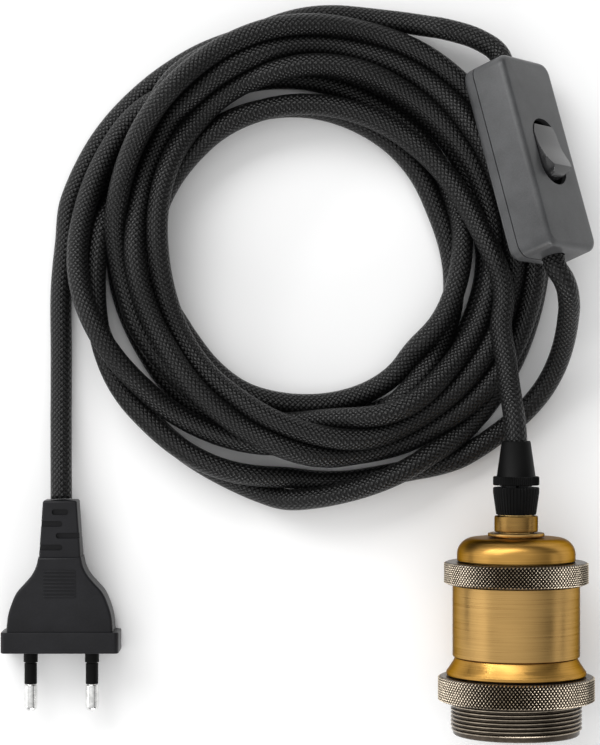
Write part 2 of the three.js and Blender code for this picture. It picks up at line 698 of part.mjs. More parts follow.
function lowerCase() {
  const wide = SWITCH_WIDTH;
  const long = SWITCH_LENGTH;
  const below = block([-wide, wide], [-long, long], [-half - 1, splitHeight]);
  const shell = cut(common(taperedCase(), below), caseInside(), cordPass());
  const posts = [-1, 1].map((side) => caseScrewPost(CASE_SCREW_HEAD + 1, -half + 1, splitHeight, side));
  const saddles = [-1, 1].map((side) => {
    const span = [side * clampNear, side * clampFar].sort((a, b) => a - b);
    return block([-cordHole - 1, cordHole + 1], span, [floorInside - 0.5, splitHeight]);
  });
  const holes = [];
  for (const side of [-1, 1]) {
    holes.push(caseScrewPost(CASE_SCREW_HEAD + GAP, -half - 1, -half + SWITCH_WALL, side));
    holes.push(caseScrewPost(CASE_SCREW_RADIUS + GAP, -half, splitHeight + 1, side));
  }
  return cut(joined(shell, ...posts, ...saddles), ...holes, cordPass());
}

function upperCase() {
  const wide = SWITCH_WIDTH;
  const long = SWITCH_LENGTH;
  const above = block([-wide, wide], [-long, long], [splitHeight + GAP, half + 1]);
  const opening = raised(roundedOutline(ROCKER_WIDTH + 1, 2 * openingHalf, ROCKER_WIDTH / 2 + 0.4), 0,
    half + 1);
  const shell = cut(common(taperedCase(), above), caseInside(), opening, cordPass());
  const extras = [-1, 1].map((side) => caseScrewPost(CASE_SCREW_HEAD + 0.6, splitHeight + GAP,
    roofInside + 0.5, side));
  const lugStart = ROCKER_WIDTH / 2 + 0.5;
  for (const side of [-1, 1]) {
    const span = [side * lugStart, side * (lugStart + LUG_WIDTH)].sort((a, b) => a - b);
    extras.push(block(span, [-3, 3], [rockerAxis - 2.2, roofInside + 0.5]));
  }
  const holes = [-1, 1].map((side) => caseScrewPost(CASE_SCREW_RADIUS + GAP, splitHeight,
    roofInside - 1, side));
  const reach = wide / 2 - SWITCH_WALL - 1.3;
  const bearing = rod(AXLE_RADIUS + GAP, -reach, reach, 'x', 12);
  return cut(joined(shell, ...extras), ...holes, bearing.translate(0, 0, rockerAxis));
}

// The rocker, level, about its axle: a long round-ended button with a hollow top and sloping ends
function rocker() {
  const end = ROCKER_LENGTH / 2;
  const slope = end - 0.5;
  const crown = end - ROCKER_END_SLOPE;
  const side = polygon([[-slope, -ROCKER_DEPTH], [slope, -ROCKER_DEPTH], [end, ROCKER_DEPTH],
    [crown + 0.3, ROCKER_RISE - 0.5], [crown - 0.4, ROCKER_RISE], [end / 2, ROCKER_DIP],
    [0, ROCKER_DIP - 0.25], [-end / 2, ROCKER_DIP], [-crown + 0.4, ROCKER_RISE],
    [-crown - 0.3, ROCKER_RISE - 0.5], [-end, ROCKER_DEPTH]]);
  const profile = raised(side, -ROCKER_WIDTH, ROCKER_WIDTH);
  profile.applyMatrix4(new THREE.Matrix4().set(0, 0, 1, 0, 1, 0, 0, 0, 0, 1, 0, 0, 0, 0, 0, 1));
  const outline = roundedOutline(ROCKER_WIDTH, ROCKER_LENGTH, ROCKER_WIDTH / 2 - 0.05);
  const button = common(profile, raised(outline, -ROCKER_DEPTH - 1, ROCKER_RISE + 1));
  const reach = ROCKER_WIDTH / 2 + AXLE_LENGTH;
  const well = rod(PLUNGER_RADIUS + GAP, -ROCKER_DEPTH - 1, PLUNGER_WELL, 'z', 12);
  return cut(joined(button, rod(AXLE_RADIUS, -reach, reach, 'x', 12)), well);
}

function plunger() {
  const tip = -plungerReach();
  return rod(PLUNGER_RADIUS, tip, tip + PLUNGER_LENGTH, 'z', 10);
}

function plungerSpring() {
  const from = -plungerReach() + PLUNGER_LENGTH + GAP + SPRING_WIRE;
  const to = Math.min(from + SPRING_LENGTH, PLUNGER_WELL - GAP - SPRING_WIRE);
  const steps = 8 * SPRING_TURNS;
  const points = [];
  for (let i = 0; i <= steps; i += 1) {
    const angle = (i / 8) * 2 * Math.PI;
    const radius = PLUNGER_RADIUS - SPRING_WIRE;
    points.push([radius * Math.cos(angle), radius * Math.sin(angle), from + ((to - from) * i) / steps]);
  }
  return tube(points, SPRING_WIRE, 4, steps);
}

// The contact blade about its pivot, which is the middle of its underside
function contactBlade() {
  return block([-BLADE_WIDTH / 2, BLADE_WIDTH / 2], [-BLADE_LENGTH / 2, BLADE_LENGTH / 2],
    [0, BLADE_THICKNESS]);
}

const bladeDrop = (BLADE_LENGTH / 2) * Math.sin(radians(BLADE_TILT));
const plateBottom = floorInside + GAP;
const blockTop = plateBottom + SWITCH_TERMINAL_HEIGHT;
const terminalMiddle = (SWITCH_TERMINAL_NEAR + SWITCH_TERMINAL_FAR) / 2;
const linkScrewPlace = LINK_LENGTH / 2 - 2.5;

// A terminal block on a plate that runs in under the blade, with a post at a place along it
function switchTerminal(side, postPlace, postHalf, postWidth, postTop) {
  const plateEnd = postPlace - postHalf;
  const along = (from, to) => [side * from, side * to].sort((a, b) => a - b);
  const wide = SWITCH_TERMINAL_WIDTH / 2;
  const plateTop = plateBottom + CONTACT_PLATE;
  const body = joined(
    block([-wide, wide], along(SWITCH_TERMINAL_NEAR, SWITCH_TERMINAL_FAR), [plateBottom, blockTop]),
    block([-postWidth, postWidth], along(plateEnd, SWITCH_TERMINAL_NEAR + 1), [plateBottom, plateTop]),
    block([-postWidth, postWidth], along(plateEnd, postPlace + postHalf), [plateBottom, postTop]),
  );
  const hole = rod(WIRE_SCREW_RADIUS + GAP, plateBottom + 1, blockTop + 1, 'z', 10);
  return cut(body, hole.translate(0, side * terminalMiddle, 0));
}

function neutralLink() {
  const bar = block([LINK_PLACE - LINK_WIDTH / 2, LINK_PLACE + LINK_WIDTH / 2],
    [-LINK_LENGTH / 2, LINK_LENGTH / 2], [plateBottom, blockTop]);
  const holes = [-1, 1].map((side) => rod(WIRE_SCREW_RADIUS + GAP, plateBottom + 1, blockTop + 1, 'z', 10)
    .translate(LINK_PLACE, side * linkScrewPlace, 0));
  return cut(bar, ...holes);
}

function wireScrew(x, y) {
  const length = SWITCH_TERMINAL_HEIGHT - 1.5;
  const piece = screw(WIRE_SCREW_RADIUS, WIRE_SCREW_HEAD, 1.0, length);
  piece.rotateX(-Math.PI / 2);
  return piece.translate(x, y, blockTop + GAP + 1.0);
}

function cordClamp(side) {
  const span = [side * clampNear, side * clampFar].sort((a, b) => a - b);
  const saddle = block([-cordHole - 1, cordHole + 1], span, [cordHeight + 1, roofInside - GAP]);
  return cut(saddle, rod(cordHole, -SWITCH_LENGTH, SWITCH_LENGTH, 'y', 16).translate(0, 0, cordHeight));
}

function caseScrew(side) {
  const [x, y] = CASE_SCREW_PLACE;
  const piece = screw(CASE_SCREW_RADIUS, CASE_SCREW_HEAD, SWITCH_WALL - GAP, CASE_SCREW_LENGTH);
  piece.rotateX(Math.PI / 2);
  return piece.translate(x, side * y, -half);
}

const wireStart = cordInsideEnd - 2 * GAP;

function liveSwitchWire(side) {
  const target = SWITCH_TERMINAL_FAR + 3 * GAP;
  const height = (plateBottom + blockTop) / 2 + 0.4;
  return tube([[-WIRE_OFFSET, side * wireStart, cordHeight],
    [-WIRE_OFFSET, side * (wireStart - 0.6), cordHeight],
    [-WIRE_OFFSET * 0.6, side * (wireStart - 1.6), (cordHeight + height) / 2], [0, side * target, height]],
  WIRE_RADIUS - 0.1, 6, 6);
}

function neutralSwitchWire(side) {
  const target = LINK_LENGTH / 2 + GAP;
  const height = (plateBottom + blockTop) / 2 + 0.4;
  const x = LINK_PLACE - 0.7;
  return tube([[WIRE_OFFSET, side * wireStart, cordHeight],
    [WIRE_OFFSET, side * (wireStart - 0.8), cordHeight],
    [x - 1.5, side * (wireStart - 3.4), cordHeight - 0.6], [x, side * (wireStart - 6), height],
    [x, side * (target + 3), height], [x, side * target, height]], WIRE_RADIUS - 0.1, 6, 10);
}

function buildSwitch() {
  const pieces = new THREE.Group();
  pieces.position.set(...SWITCH_CENTRE);
  pieces.rotation.set(radians(SWITCH_PITCH), radians(SWITCH_ROLL), radians(SWITCH_TURN), 'ZYX');
  const tipping = new THREE.Group();
  tipping.position.set(0, 0, rockerAxis);
  tipping.rotation.x = -radians(ROCKER_TILT);
  tipping.add(
    node('switch_rocker', rocker(), glossPlastic),
    node('rocker_plunger', plunger(), plainBrass),
    node('rocker_spring', plungerSpring(), steel),
  );
  const blade = node('contact_blade', contactBlade(), plainBrass);
  blade.position.set(0, 0, bladePivot);
  blade.rotation.x = radians(BLADE_TILT);
  const dotTop = bladePivot - bladeDrop - GAP;
  const cradleTop = bladePivot - GAP;
  pieces.add(tipping, blade,
    node('switch_lower_case', lowerCase(), greyPlastic),
    node('switch_upper_case', upperCase(), greyPlastic),
    node('live_in_terminal', switchTerminal(1, 7, 0.9, 2.2, dotTop), plainBrass),
    node('live_out_terminal', switchTerminal(-1, 0, 0.9, 2.6, cradleTop), plainBrass),
    node('neutral_link', neutralLink(), plainBrass),
    node('live_in_screw', wireScrew(0, terminalMiddle), steel),
    node('live_out_screw', wireScrew(0, -terminalMiddle), steel),
    node('neutral_in_screw', wireScrew(LINK_PLACE, linkScrewPlace), steel),
    node('neutral_out_screw', wireScrew(LINK_PLACE, -linkScrewPlace), steel),
    node('cord_clamp_in', cordClamp(1), greyPlastic),
    node('cord_clamp_out', cordClamp(-1), greyPlastic),
    node('case_screw_in', caseScrew(1), steel),
    node('case_screw_out', caseScrew(-1), steel),
    node('live_wire_in', liveSwitchWire(1), brownWire),
    node('live_wire_out', liveSwitchWire(-1), brownWire),
    node('neutral_wire_in', neutralSwitchWire(1), blueWire),
    node('neutral_wire_out', neutralSwitchWire(-1), blueWire),
  );
  return pieces;
}

// The plug lies flat along Y, from the front of its flange, with its pins towards -Y
const plugHeight = FLANGE_THICKNESS / 2;
const tailEnd = TAIL_START + TAIL_LENGTH;
const carrierHalf = PIN_SPACING / 2 + CARRIER_MARGIN;
const carrierThick = 2 * (PIN_FOOT_RADIUS + CARRIER_WALL);

function plugBody() {
  const flange = raised(roundedOutline(FLANGE_WIDTH, FLANGE_THICKNESS, FLANGE_CORNER), -FLANGE_LENGTH, 0);
  flange.rotateX(Math.PI / 2);
  const halfWidths = PLUG_HALF_WIDTHS.map(([x, y]) => new THREE.Vector2(x, y));
  const leftSide = new THREE.SplineCurve(halfWidths).getPoints(9);
  const outline = leftSide.map((point) => [point.x, point.y]);
  outline.push(...leftSide.reverse().map((point) => [-point.x, point.y]));
  const bell = raised(polygon(outline), -PLUG_THICKNESS / 2, PLUG_THICKNESS / 2, PLUG_ROUNDING, 2);
  const tailFoot = TAIL_START - TAIL_ROUNDING - 1;
  const tailOutline = polygon([[-TAIL_FOOT_HALF, tailFoot], [TAIL_FOOT_HALF, tailFoot],
    [TAIL_FOOT_HALF, TAIL_SLOT_START - 1], [TAIL_END_HALF, tailEnd], [-TAIL_END_HALF, tailEnd],
    [-TAIL_FOOT_HALF, TAIL_SLOT_START - 1]]);
  const tail = raised(tailOutline, -TAIL_END_HALF, TAIL_END_HALF, TAIL_ROUNDING);
  const slotTools = [];
  TAIL_SLOTS.forEach((open, i) => {
    const place = TAIL_SLOT_START + i * TAIL_SLOT_PITCH;
    for (const side of [-1, 1]) {
      const depth = [side * TAIL_CORE_HALF, side * (TAIL_FOOT_HALF + 1)].sort((a, b) => a - b);
      slotTools.push(block(open, [place, place + TAIL_SLOT], depth));
    }
  });
  const ribs = [];
  for (let i = 0; i < RIB_COUNT; i += 1) {
    const place = RIB_PLACE + i * RIB_PITCH;
    const top = PLUG_THICKNESS / 2 + RIB_HEIGHT;
    ribs.push(block([-RIB_WIDTH / 2, RIB_WIDTH / 2], [place, place + RIB_PITCH / 2], [-top, top]));
  }
  const seat = block([-carrierHalf, carrierHalf], [-1, CARRIER_DEPTH + GAP],
    [-carrierThick / 2, carrierThick / 2]);
  return cut(joined(flange, bell, tail, ...ribs), ...slotTools, seat);
}

function pinCarrier() {
  const x = carrierHalf - GAP;
  const z = carrierThick / 2 - GAP;
  const body = block([-x, x], [0, CARRIER_DEPTH], [-z, z]);
  const bores = [-1, 1].map((side) => rod(PIN_SHAFT_RADIUS + GAP, -1, PIN_INSIDE + GAP, 'y', 12)
    .translate(side * PIN_SPACING / 2, 0, 0));
  return cut(body, ...bores);
}

function plugPin(side) {
  const sleeveEnd = -PIN_SLEEVE_LENGTH - GAP;
  const piece = turned([[0, -PIN_LENGTH], [PIN_RADIUS * 0.55, -PIN_LENGTH + 0.25],
    [PIN_RADIUS * 0.9, -PIN_LENGTH + 0.9],
    [PIN_RADIUS, -PIN_LENGTH + 1.9], [PIN_RADIUS, sleeveEnd], [PIN_SHAFT_RADIUS, sleeveEnd],
    [PIN_SHAFT_RADIUS, PIN_INSIDE], [0, PIN_INSIDE]], 14);
  return piece.translate(side * PIN_SPACING / 2, 0, 0);
}

function pinSleeve(side) {
  const bore = PIN_SHAFT_RADIUS + GAP;
  const piece = turned([[bore, -PIN_SLEEVE_LENGTH], [PIN_SLEEVE_RADIUS, -PIN_SLEEVE_LENGTH],
    [PIN_SLEEVE_RADIUS, -PIN_FOOT_LENGTH], [PIN_FOOT_RADIUS, -PIN_FOOT_LENGTH],
    [PIN_FOOT_RADIUS, -GAP], [bore, -GAP]], 14);
  return piece.translate(side * PIN_SPACING / 2, 0, 0);
}

function buildPlug() {
  const plug = new THREE.Group();
  plug.position.set(...PLUG_PLACE, plugHeight);
  plug.add(
    node('plug_body', plugBody(), blackPlastic),
    node('pin_carrier', pinCarrier(), blackPlastic),
    node('plug_pin_left', plugPin(-1), steel),
    node('plug_pin_right', plugPin(1), steel),
    node('pin_sleeve_left', pinSleeve(-1), blackPlastic),
    node('pin_sleeve_right', pinSleeve(1), blackPlastic),
  );
  return plug;
}

// The cord: a ring for the coil, and the four stretches that leave it. The points were
// chosen by hand along the cord's middle line.
function coilRing() {
  const outer = COIL_OUTER_RADIUS;
  const inner = COIL_INNER_RADIUS;
  const shoulder = outer - COIL_HEIGHT + 1.5;
  const ring = turned([[inner + 1.5, 0], [outer - 2.5, 0], [outer, CORD_RADIUS],
    [outer - 1.6, CORD_RADIUS + 2], [shoulder, COIL_HEIGHT], [inner + 6, COIL_HEIGHT],
    [inner + 1, COIL_HEIGHT - 5], [inner, CORD_RADIUS]], 40);
  ring.rotateX(Math.PI / 2);
  return ring.translate(...COIL_CENTRE, 0);
}

// Where the cord goes into the switch: a place on its axis, from its middle
function onSwitchAxis(along) {
  const place = new THREE.Vector3(0, along, cordHeight);
  place.applyEuler(new THREE.Euler(radians(SWITCH_PITCH), radians(SWITCH_ROLL), radians(SWITCH_TURN), 'ZYX'));
  return place.add(new THREE.Vector3(...SWITCH_CENTRE)).toArray();
}

const plugTail = [PLUG_PLACE[0], PLUG_PLACE[1] + tailEnd + GAP, plugHeight];
const gripTop = mouthY + holderLength;
const PLUG_LEAD = [plugTail, [-136.6, 32.7, 6.4], [-136.8, 44.7, 4.6], [-136.9, 56.7, 3.6],
  [-136.8, 67.6, 3.4]];
const SWITCH_LEAD_IN = [[-37.6, 170.6, 8.6], [-28, 169.1, 8.8], [-17.6, 166.9, 9.2], [-10.2, 164.3, 9.9],
  onSwitchAxis(SWITCH_LENGTH / 2 + 5), onSwitchAxis(SWITCH_LENGTH / 2 - 1), onSwitchAxis(cordInsideEnd)];
const SWITCH_LEAD_OUT = [onSwitchAxis(-cordInsideEnd), onSwitchAxis(-SWITCH_LENGTH / 2 + 1),
  onSwitchAxis(-SWITCH_LENGTH / 2 - 3), [14.2, 89.9, 27.6], [15.7, 83.7, 23.4], [16.1, 76.4, 16.5],
  [15, 69, 10],
  [12.3, 61.4, 5.2], [7.8, 54.7, 3.5], [2, 48.9, 3.3], [-4.6, 44.1, 3.3]];
const HOLDER_LEAD = [[-2.8, 71.3, 17.3], [-2.4, 66.2, 17.9], [-1.6, 59.2, 19.6], [-0.7, 51.9, 22.2],
  [0, gripTop + 1.5, axisHeight], [0, gripTop - 6, axisHeight], [0, mouthY + cordEnd, axisHeight]];

function buildCord() {
  const cord = new THREE.Group();
  cord.add(
    node('cord_coil', coilRing(), blackCord),
    node('plug_lead', tube(PLUG_LEAD, CORD_RADIUS, 10, 6), blackCord),
    node('switch_lead_in', tube(SWITCH_LEAD_IN, CORD_RADIUS, 10, 14), blackCord),
    node('switch_lead_out', tube(SWITCH_LEAD_OUT, CORD_RADIUS, 10, 20), blackCord),
    node('holder_lead', tube(HOLDER_LEAD, CORD_RADIUS, 10, 14), blackCord),
  );
  return cord;
}

const group = new THREE.Group();
group.add(buildHolder(), buildSwitch(), buildPlug(), buildCord());
group.updateMatrixWorld(true);

export default group;
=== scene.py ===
# %% [markdown]
# A pendant cord set lies on a pale table: a flat two-pin plug, a loose coil of round black textile
# cord with a rocker switch on it, and an antique brass screw lamp holder. The construction comes
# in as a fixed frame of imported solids. This lesson gives each visible piece its fine shape and its
# finish, and it starts with what decides the picture: the camera and the lie of the cord.

# %% Load the frame
import json
import math

import bmesh
import bpy
import numpy as np
from mathutils import Matrix, Vector


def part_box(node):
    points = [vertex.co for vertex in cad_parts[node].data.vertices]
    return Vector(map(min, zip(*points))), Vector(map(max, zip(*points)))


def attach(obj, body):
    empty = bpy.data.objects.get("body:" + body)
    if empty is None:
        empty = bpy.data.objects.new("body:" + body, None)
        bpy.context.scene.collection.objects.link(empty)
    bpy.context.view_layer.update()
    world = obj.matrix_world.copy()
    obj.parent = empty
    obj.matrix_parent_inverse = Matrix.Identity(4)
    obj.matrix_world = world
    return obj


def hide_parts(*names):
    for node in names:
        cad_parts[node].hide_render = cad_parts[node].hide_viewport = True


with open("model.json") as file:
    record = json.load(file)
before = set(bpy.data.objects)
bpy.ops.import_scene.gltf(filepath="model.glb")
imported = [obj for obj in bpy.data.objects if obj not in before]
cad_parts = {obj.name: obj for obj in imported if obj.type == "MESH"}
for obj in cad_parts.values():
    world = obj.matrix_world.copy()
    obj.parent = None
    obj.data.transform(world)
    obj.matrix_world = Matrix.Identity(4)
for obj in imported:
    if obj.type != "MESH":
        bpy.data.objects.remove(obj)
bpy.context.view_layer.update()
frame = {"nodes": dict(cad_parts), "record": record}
nodes = frame["nodes"]
MM = 0.001

# %% [markdown]
# The photograph looks straight down. The picture is 600 by 745, and the lamp holder's rims show how
# strong the perspective is: the camera stands about 735 mm above the table with a long lens. A
# camera in Blender looks along its own -Z, so no turn is needed to look down.

# %% Camera
CAMERA_PLACE = (-0.0641, 0.0637, 0.735)
FOCAL_PIXELS = 2400
PICTURE_HEIGHT = 745
SENSOR = 36.0

camera_data = bpy.data.cameras.new("top_camera")
camera_data.sensor_width = SENSOR
camera_data.lens = FOCAL_PIXELS * SENSOR / PICTURE_HEIGHT
camera = bpy.data.objects.new("top_camera", camera_data)
camera.location = CAMERA_PLACE
bpy.context.scene.collection.objects.link(camera)
bpy.context.scene.camera = camera
print("lens", round(camera_data.lens, 1), "mm")

# %% [markdown]
# The stage is a white floor under a soft sky that is brightest a little left of overhead, because
# brass shows what it reflects: its left half is light in the photograph and its right edge is dark.
# Low lights at the left and the right, a broad one behind and one in front draw the other
# highlights, and a narrow strip at the upper left draws thin bright lines along the cord.

# %% Stage
def flat_material(name, color, roughness):
    material = bpy.data.materials.new(name)
    material.use_nodes = True
    shader = material.node_tree.nodes["Principled BSDF"]
    shader.inputs["Base Color"].default_value = (*color, 1)
    shader.inputs["Roughness"].default_value = roughness
    return material


def new_object(name, work):
    """An object in the scene from a bmesh, which is used up."""
    mesh = bpy.data.meshes.new(name)
    work.to_mesh(mesh)
    work.free()
    made = bpy.data.objects.new(name, mesh)
    bpy.context.scene.collection.objects.link(made)
    return made


def make_floor(size, depth):
    work = bmesh.new()
    bmesh.ops.create_grid(work, x_segments=1, y_segments=1, size=size)
    bmesh.ops.translate(work, vec=(0, 0, -depth), verts=work.verts)
    floor = new_object("floor", work)
    floor.data.materials.append(flat_material("white_table", (0.98, 0.98, 0.98), 0.6))


def area_light(name, place, target, size, size_y, power):
    data = bpy.data.lights.new(name, "AREA")
    data.shape = "RECTANGLE"
    data.size = size
    data.size_y = size_y
    data.energy = power
    light = bpy.data.objects.new(name, data)
    light.location = place
    look = Vector(target) - Vector(place)
    light.rotation_euler = look.to_track_quat("-Z", "Y").to_euler()
    bpy.context.scene.collection.objects.link(light)


def make_sky(brightest, stops):
    """A sky that is bright round one direction and darker away from it."""
    world = bpy.data.worlds.new("soft_sky")
    world.use_nodes = True
    tree = world.node_tree
    place = tree.nodes.new("ShaderNodeTexCoord")
    lean = tree.nodes.new("ShaderNodeVectorMath")
    lean.operation = "DOT_PRODUCT"
    lean.inputs[1].default_value = Vector(brightest).normalized()
    ramp = tree.nodes.new("ShaderNodeValToRGB")
    while len(ramp.color_ramp.elements) < len(stops):
        ramp.color_ramp.elements.new(0.5)
    for element, (height, grey) in zip(ramp.color_ramp.elements, stops):
        element.position = height
        element.color = (grey, grey, grey, 1)
    tree.links.new(place.outputs["Generated"], lean.inputs[0])
    tree.links.new(lean.outputs["Value"], ramp.inputs["Fac"])
    tree.links.new(ramp.outputs["Color"], tree.nodes["Background"].inputs["Color"])
    bpy.context.scene.world = world


make_floor(3.0, 0.0002)
make_sky((-0.35, 0.0, 0.94), [(0.0, 0.08), (0.35, 0.4), (0.7, 0.72), (1.0, 1.0)])
area_light("low_left", (-1.0, -0.1, 0.3), (-0.06, 0.0, 0), 1.2, 0.6, 2.0)
area_light("low_right", (1.0, -0.1, 0.28), (0.0, 0.0, 0.02), 1.0, 0.35, 1.0)
area_light("high_back", (-0.5, 0.95, 0.8), (-0.06, 0.06, 0), 1.2, 0.5, 8)
area_light("low_front", (0.1, -0.95, 0.3), (0.0, 0.1, 0.02), 0.7, 0.3, 5)
area_light("rim_strip", (-0.75, 0.7, 0.36), (-0.06, 0.1, 0), 0.5, 0.07, 2)
bpy.context.scene.view_settings.view_transform = "Standard"
print("stage is set")

# %% [markdown]
# The cord is one length of flexible cable, so its route comes before its looks. It was followed
# through the coil, turn by turn, from both its ends. Each turn is a short list: how far the
# cord lies from the coil's middle, every 30 degrees clockwise, and on which layer. A loop makes
# the points, and evens out each distance a little with its neighbours, because a reading
# isn't exact. The stretches outside the coil are listed points.

# %% Route of the cord
CORD_RADIUS = 3.25 * MM
CORD_HOLE = 3.55 * MM
COIL_MIDDLE = Vector((-63.2, 98.3, 0)) * MM
LAYER = 5.7 * MM

PLUG_SIDE_TURNS = [
    ([73, 71.5, 68.5, 70, 71, 71, 71, 69.5, 65, 58.5, 51.5, 48.5],
     [0, 0, 0, 0, 0, 0, 1, 1, 1.5, 2, 2, 1.5]),
    ([50, 54.5, 61, 65.5, 65.5, 65, 64.5, 63.5, 60, 53, 47, 43.5],
     [1, 1, 1.5, 1, 1, 1, 1, 1, 1.5, 1.5, 1, 1]),
    ([43.5, 47.5, 55.5, 59.5, 60, 59.5, 59, 57.5, 55, 50.5, 50.5, 53],
     [1, 1.5, 1, 1, 1, 0.5, 0.5, 0.5, 0.5, 0, 0, 0.5]),
    ([55.5, 60.5, 66, 71.5, 71.5, 72, 72.5, 70.5, 72, 72.5, 69.5, 66.5],
     [1, 2, 2, 1.5, 1, 1, 0, 0, 1, 1, 0, 0]),
    ([65, 64.5, 63.5, 62, 62, 62, 62, 61, 58.5, 56.5, 55, 55],
     [0, 0, 0, 0, 0, 0, 0, 0, 0, 0, 0, 0]),
    ([57.5, 61, 67, 72.3], [0, 0.5, 1, 0.6]),
]
LAMP_SIDE_TURNS = [
    ([73, 68.5, 70, 67.5], [0, 0.2, 1, 0.7]),
    ([63.5, 62, 58.5, 56, 53, 50, 48, 47, 46, 45.5, 47.5, 47],
     [0.3, 0.5, 0, 0, 0, 0, 0.7, 1, 1, 0.4, 0, 0]),
    ([47, 49, 49, 47, 45.5, 44.5, 46, 50.5, 53.5, 56.5, 60, 65],
     [0, 0, 0, 0, 0, 0, 0, 0, 0, 0.5, 1, 1.7]),
    ([69.5, 68, 62.5, 60, 60, 59.5, 58.5, 55.5, 53.5, 51, 49, 47.5],
     [1.5, 1, 0.5, 0, 0, 0, 0, 0, 0, 0, 0, 0]),
    ([47.5, 47.5, 47.5, 47, 47.5, 49.5, 56], [0.5, 0.5, 0.5, 1, 1, 1.2, 2]),
]

SWITCH_MIDDLE = Vector((4.3, 126.7, 20.0)) * MM
SWITCH_TURN = math.radians(-4.2)
SWITCH_ROLL = math.radians(49.8)
SWITCH_PITCH = math.radians(-22.4)
SWITCH_HALF_LENGTH = 30.5 * MM
SWITCH_HALF_WIDTH = 13.0 * MM
SWITCH_HALF_HEIGHT = 7.5 * MM
SWITCH_CORD_HEIGHT = -0.7 * MM
SWITCH_CORD_END = 23.0 * MM
HOLDER_AXIS = 23.25 * MM
GRIP_TOP = 43.4 * MM
HOLDER_CORD_END = 26.9 * MM
PLUG_TAIL = Vector((-136.5, 25.4, 6.85)) * MM

switch_place = (
    Matrix.Translation(SWITCH_MIDDLE)
    @ Matrix.Rotation(SWITCH_TURN, 4, "Z")
    @ Matrix.Rotation(SWITCH_ROLL, 4, "Y")
    @ Matrix.Rotation(SWITCH_PITCH, 4, "X")
)


def on_switch_axis(along):
    return switch_place @ Vector((0, along, SWITCH_CORD_HEIGHT))


def by_hand(*points):
    return [Vector(point) * MM for point in points]


def coil_points(turns, first_angle):
    """The points of several turns, clockwise from an angle, one every 30 degrees."""
    distances = [distance for turn in turns for distance in turn[0]]
    layers = [layer for turn in turns for layer in turn[1]]
    points = []
    for i, (distance, layer) in enumerate(zip(distances, layers)):
        if 0 < i < len(distances) - 1:
            distance = (distances[i - 1] + 3 * distance + distances[i + 1]) / 5
        turn = math.radians(first_angle - 30 * i)
        spot = Vector((math.cos(turn), math.sin(turn), 0)) * distance * MM + COIL_MIDDLE
        spot.z = CORD_RADIUS + layer * LAYER
        points.append(spot)
    return points


plug_lead = [PLUG_TAIL]
plug_lead += by_hand((-136.6, 32.7, 6.4), (-136.8, 44.7, 4.6), (-136.9, 56.7, 3.6), (-136.8, 70.7, 3.3))
switch_lead_in = by_hand((-37.6, 170.6, 8.6), (-28, 169.1, 8.8), (-17.6, 166.9, 9.2), (-10.2, 164.3, 9.9))
switch_lead_in += [
    on_switch_axis(SWITCH_HALF_LENGTH + 5 * MM),
    on_switch_axis(SWITCH_HALF_LENGTH - 1 * MM),
    on_switch_axis(SWITCH_CORD_END),
]
switch_lead_out = [
    on_switch_axis(-SWITCH_CORD_END),
    on_switch_axis(-SWITCH_HALF_LENGTH + 1 * MM),
    on_switch_axis(-SWITCH_HALF_LENGTH - 3 * MM),
]
switch_lead_out += by_hand((14.2, 89.9, 27.6), (15.7, 83.7, 23.4), (16.1, 76.4, 16.5), (15, 69.0, 10),
                           (12.3, 61.4, 5.2), (7.8, 54.7, 3.5), (2, 48.9, 3.3), (-4.3, 44.3, 3.3),
                           (-10.6, 40.4, 3.3))
holder_lead = by_hand((-5.4, 78.7, 17.2), (-2.8, 71.3, 17.3), (-2.4, 66.2, 17.9), (-1.6, 59.2, 19.6),
                      (-0.7, 51.9, 22.2))
holder_lead += [
    Vector((0, GRIP_TOP + 1.5 * MM, HOLDER_AXIS)),
    Vector((0, GRIP_TOP - 6 * MM, HOLDER_AXIS)),
    Vector((0, HOLDER_CORD_END, HOLDER_AXIS)),
]

plug_cord_route = plug_lead + coil_points(PLUG_SIDE_TURNS, 180) + switch_lead_in
last_turn = coil_points(LAMP_SIDE_TURNS, -60)[:-1] + coil_points([([62], [2.4])], -8)
lamp_cord_route = switch_lead_out + last_turn + holder_lead
print("hand-made points", len(plug_cord_route), len(lamp_cord_route))

# %% [markdown]
# A curve through so few points would pass through its neighbours. So the points are taken closer
# together along a smooth curve, and the whole heap then settles by itself: each step lets every
# point sink a little, straightens the cord, and pushes apart what lies closer than one diameter.
# A cloth or rope simulation could do this too, but these few lines are steady and repeatable.

# %% Settle the coil
POINT_STEP = 3.6 * MM
SETTLE_STEPS = 260
SINK = 0.05 * MM
HOLD = 0.09
STRAIGHTEN = 0.55
SPACING = 2.03 * CORD_RADIUS
NEIGHBOURS = 4
FIXED_ENDS = [(8, 10), (8, 12)]


def smooth_points(route, step):
    """Evenly spaced points on a smooth curve through the route."""
    points = np.array([tuple(point) for point in route])
    before = 2 * points[:1] - points[1:2]
    after = 2 * points[-1:] - points[-2:-1]
    padded = np.vstack([before, points, after])
    fine = []
    for i in range(1, len(padded) - 2):
        a, b, c, d = padded[i - 1], padded[i], padded[i + 1], padded[i + 2]
        for t in np.linspace(0, 1, 24, endpoint=False):
            square = (2 * a - 5 * b + 4 * c - d) * t**2
            cube = (3 * b - a - 3 * c + d) * t**3
            fine.append(0.5 * (2 * b + (c - a) * t + square + cube))
    fine.append(points[-1])
    fine = np.array(fine)
    along = np.concatenate([[0], np.cumsum(np.linalg.norm(np.diff(fine, axis=0), axis=1))])
    count = int(round(along[-1] / step)) + 1
    spots = np.linspace(0, along[-1], count)
    return np.stack([np.interp(spots, along, fine[:, k]) for k in range(3)], axis=1)


def length_of(points):
    return float(np.linalg.norm(np.diff(points, axis=0), axis=1).sum())


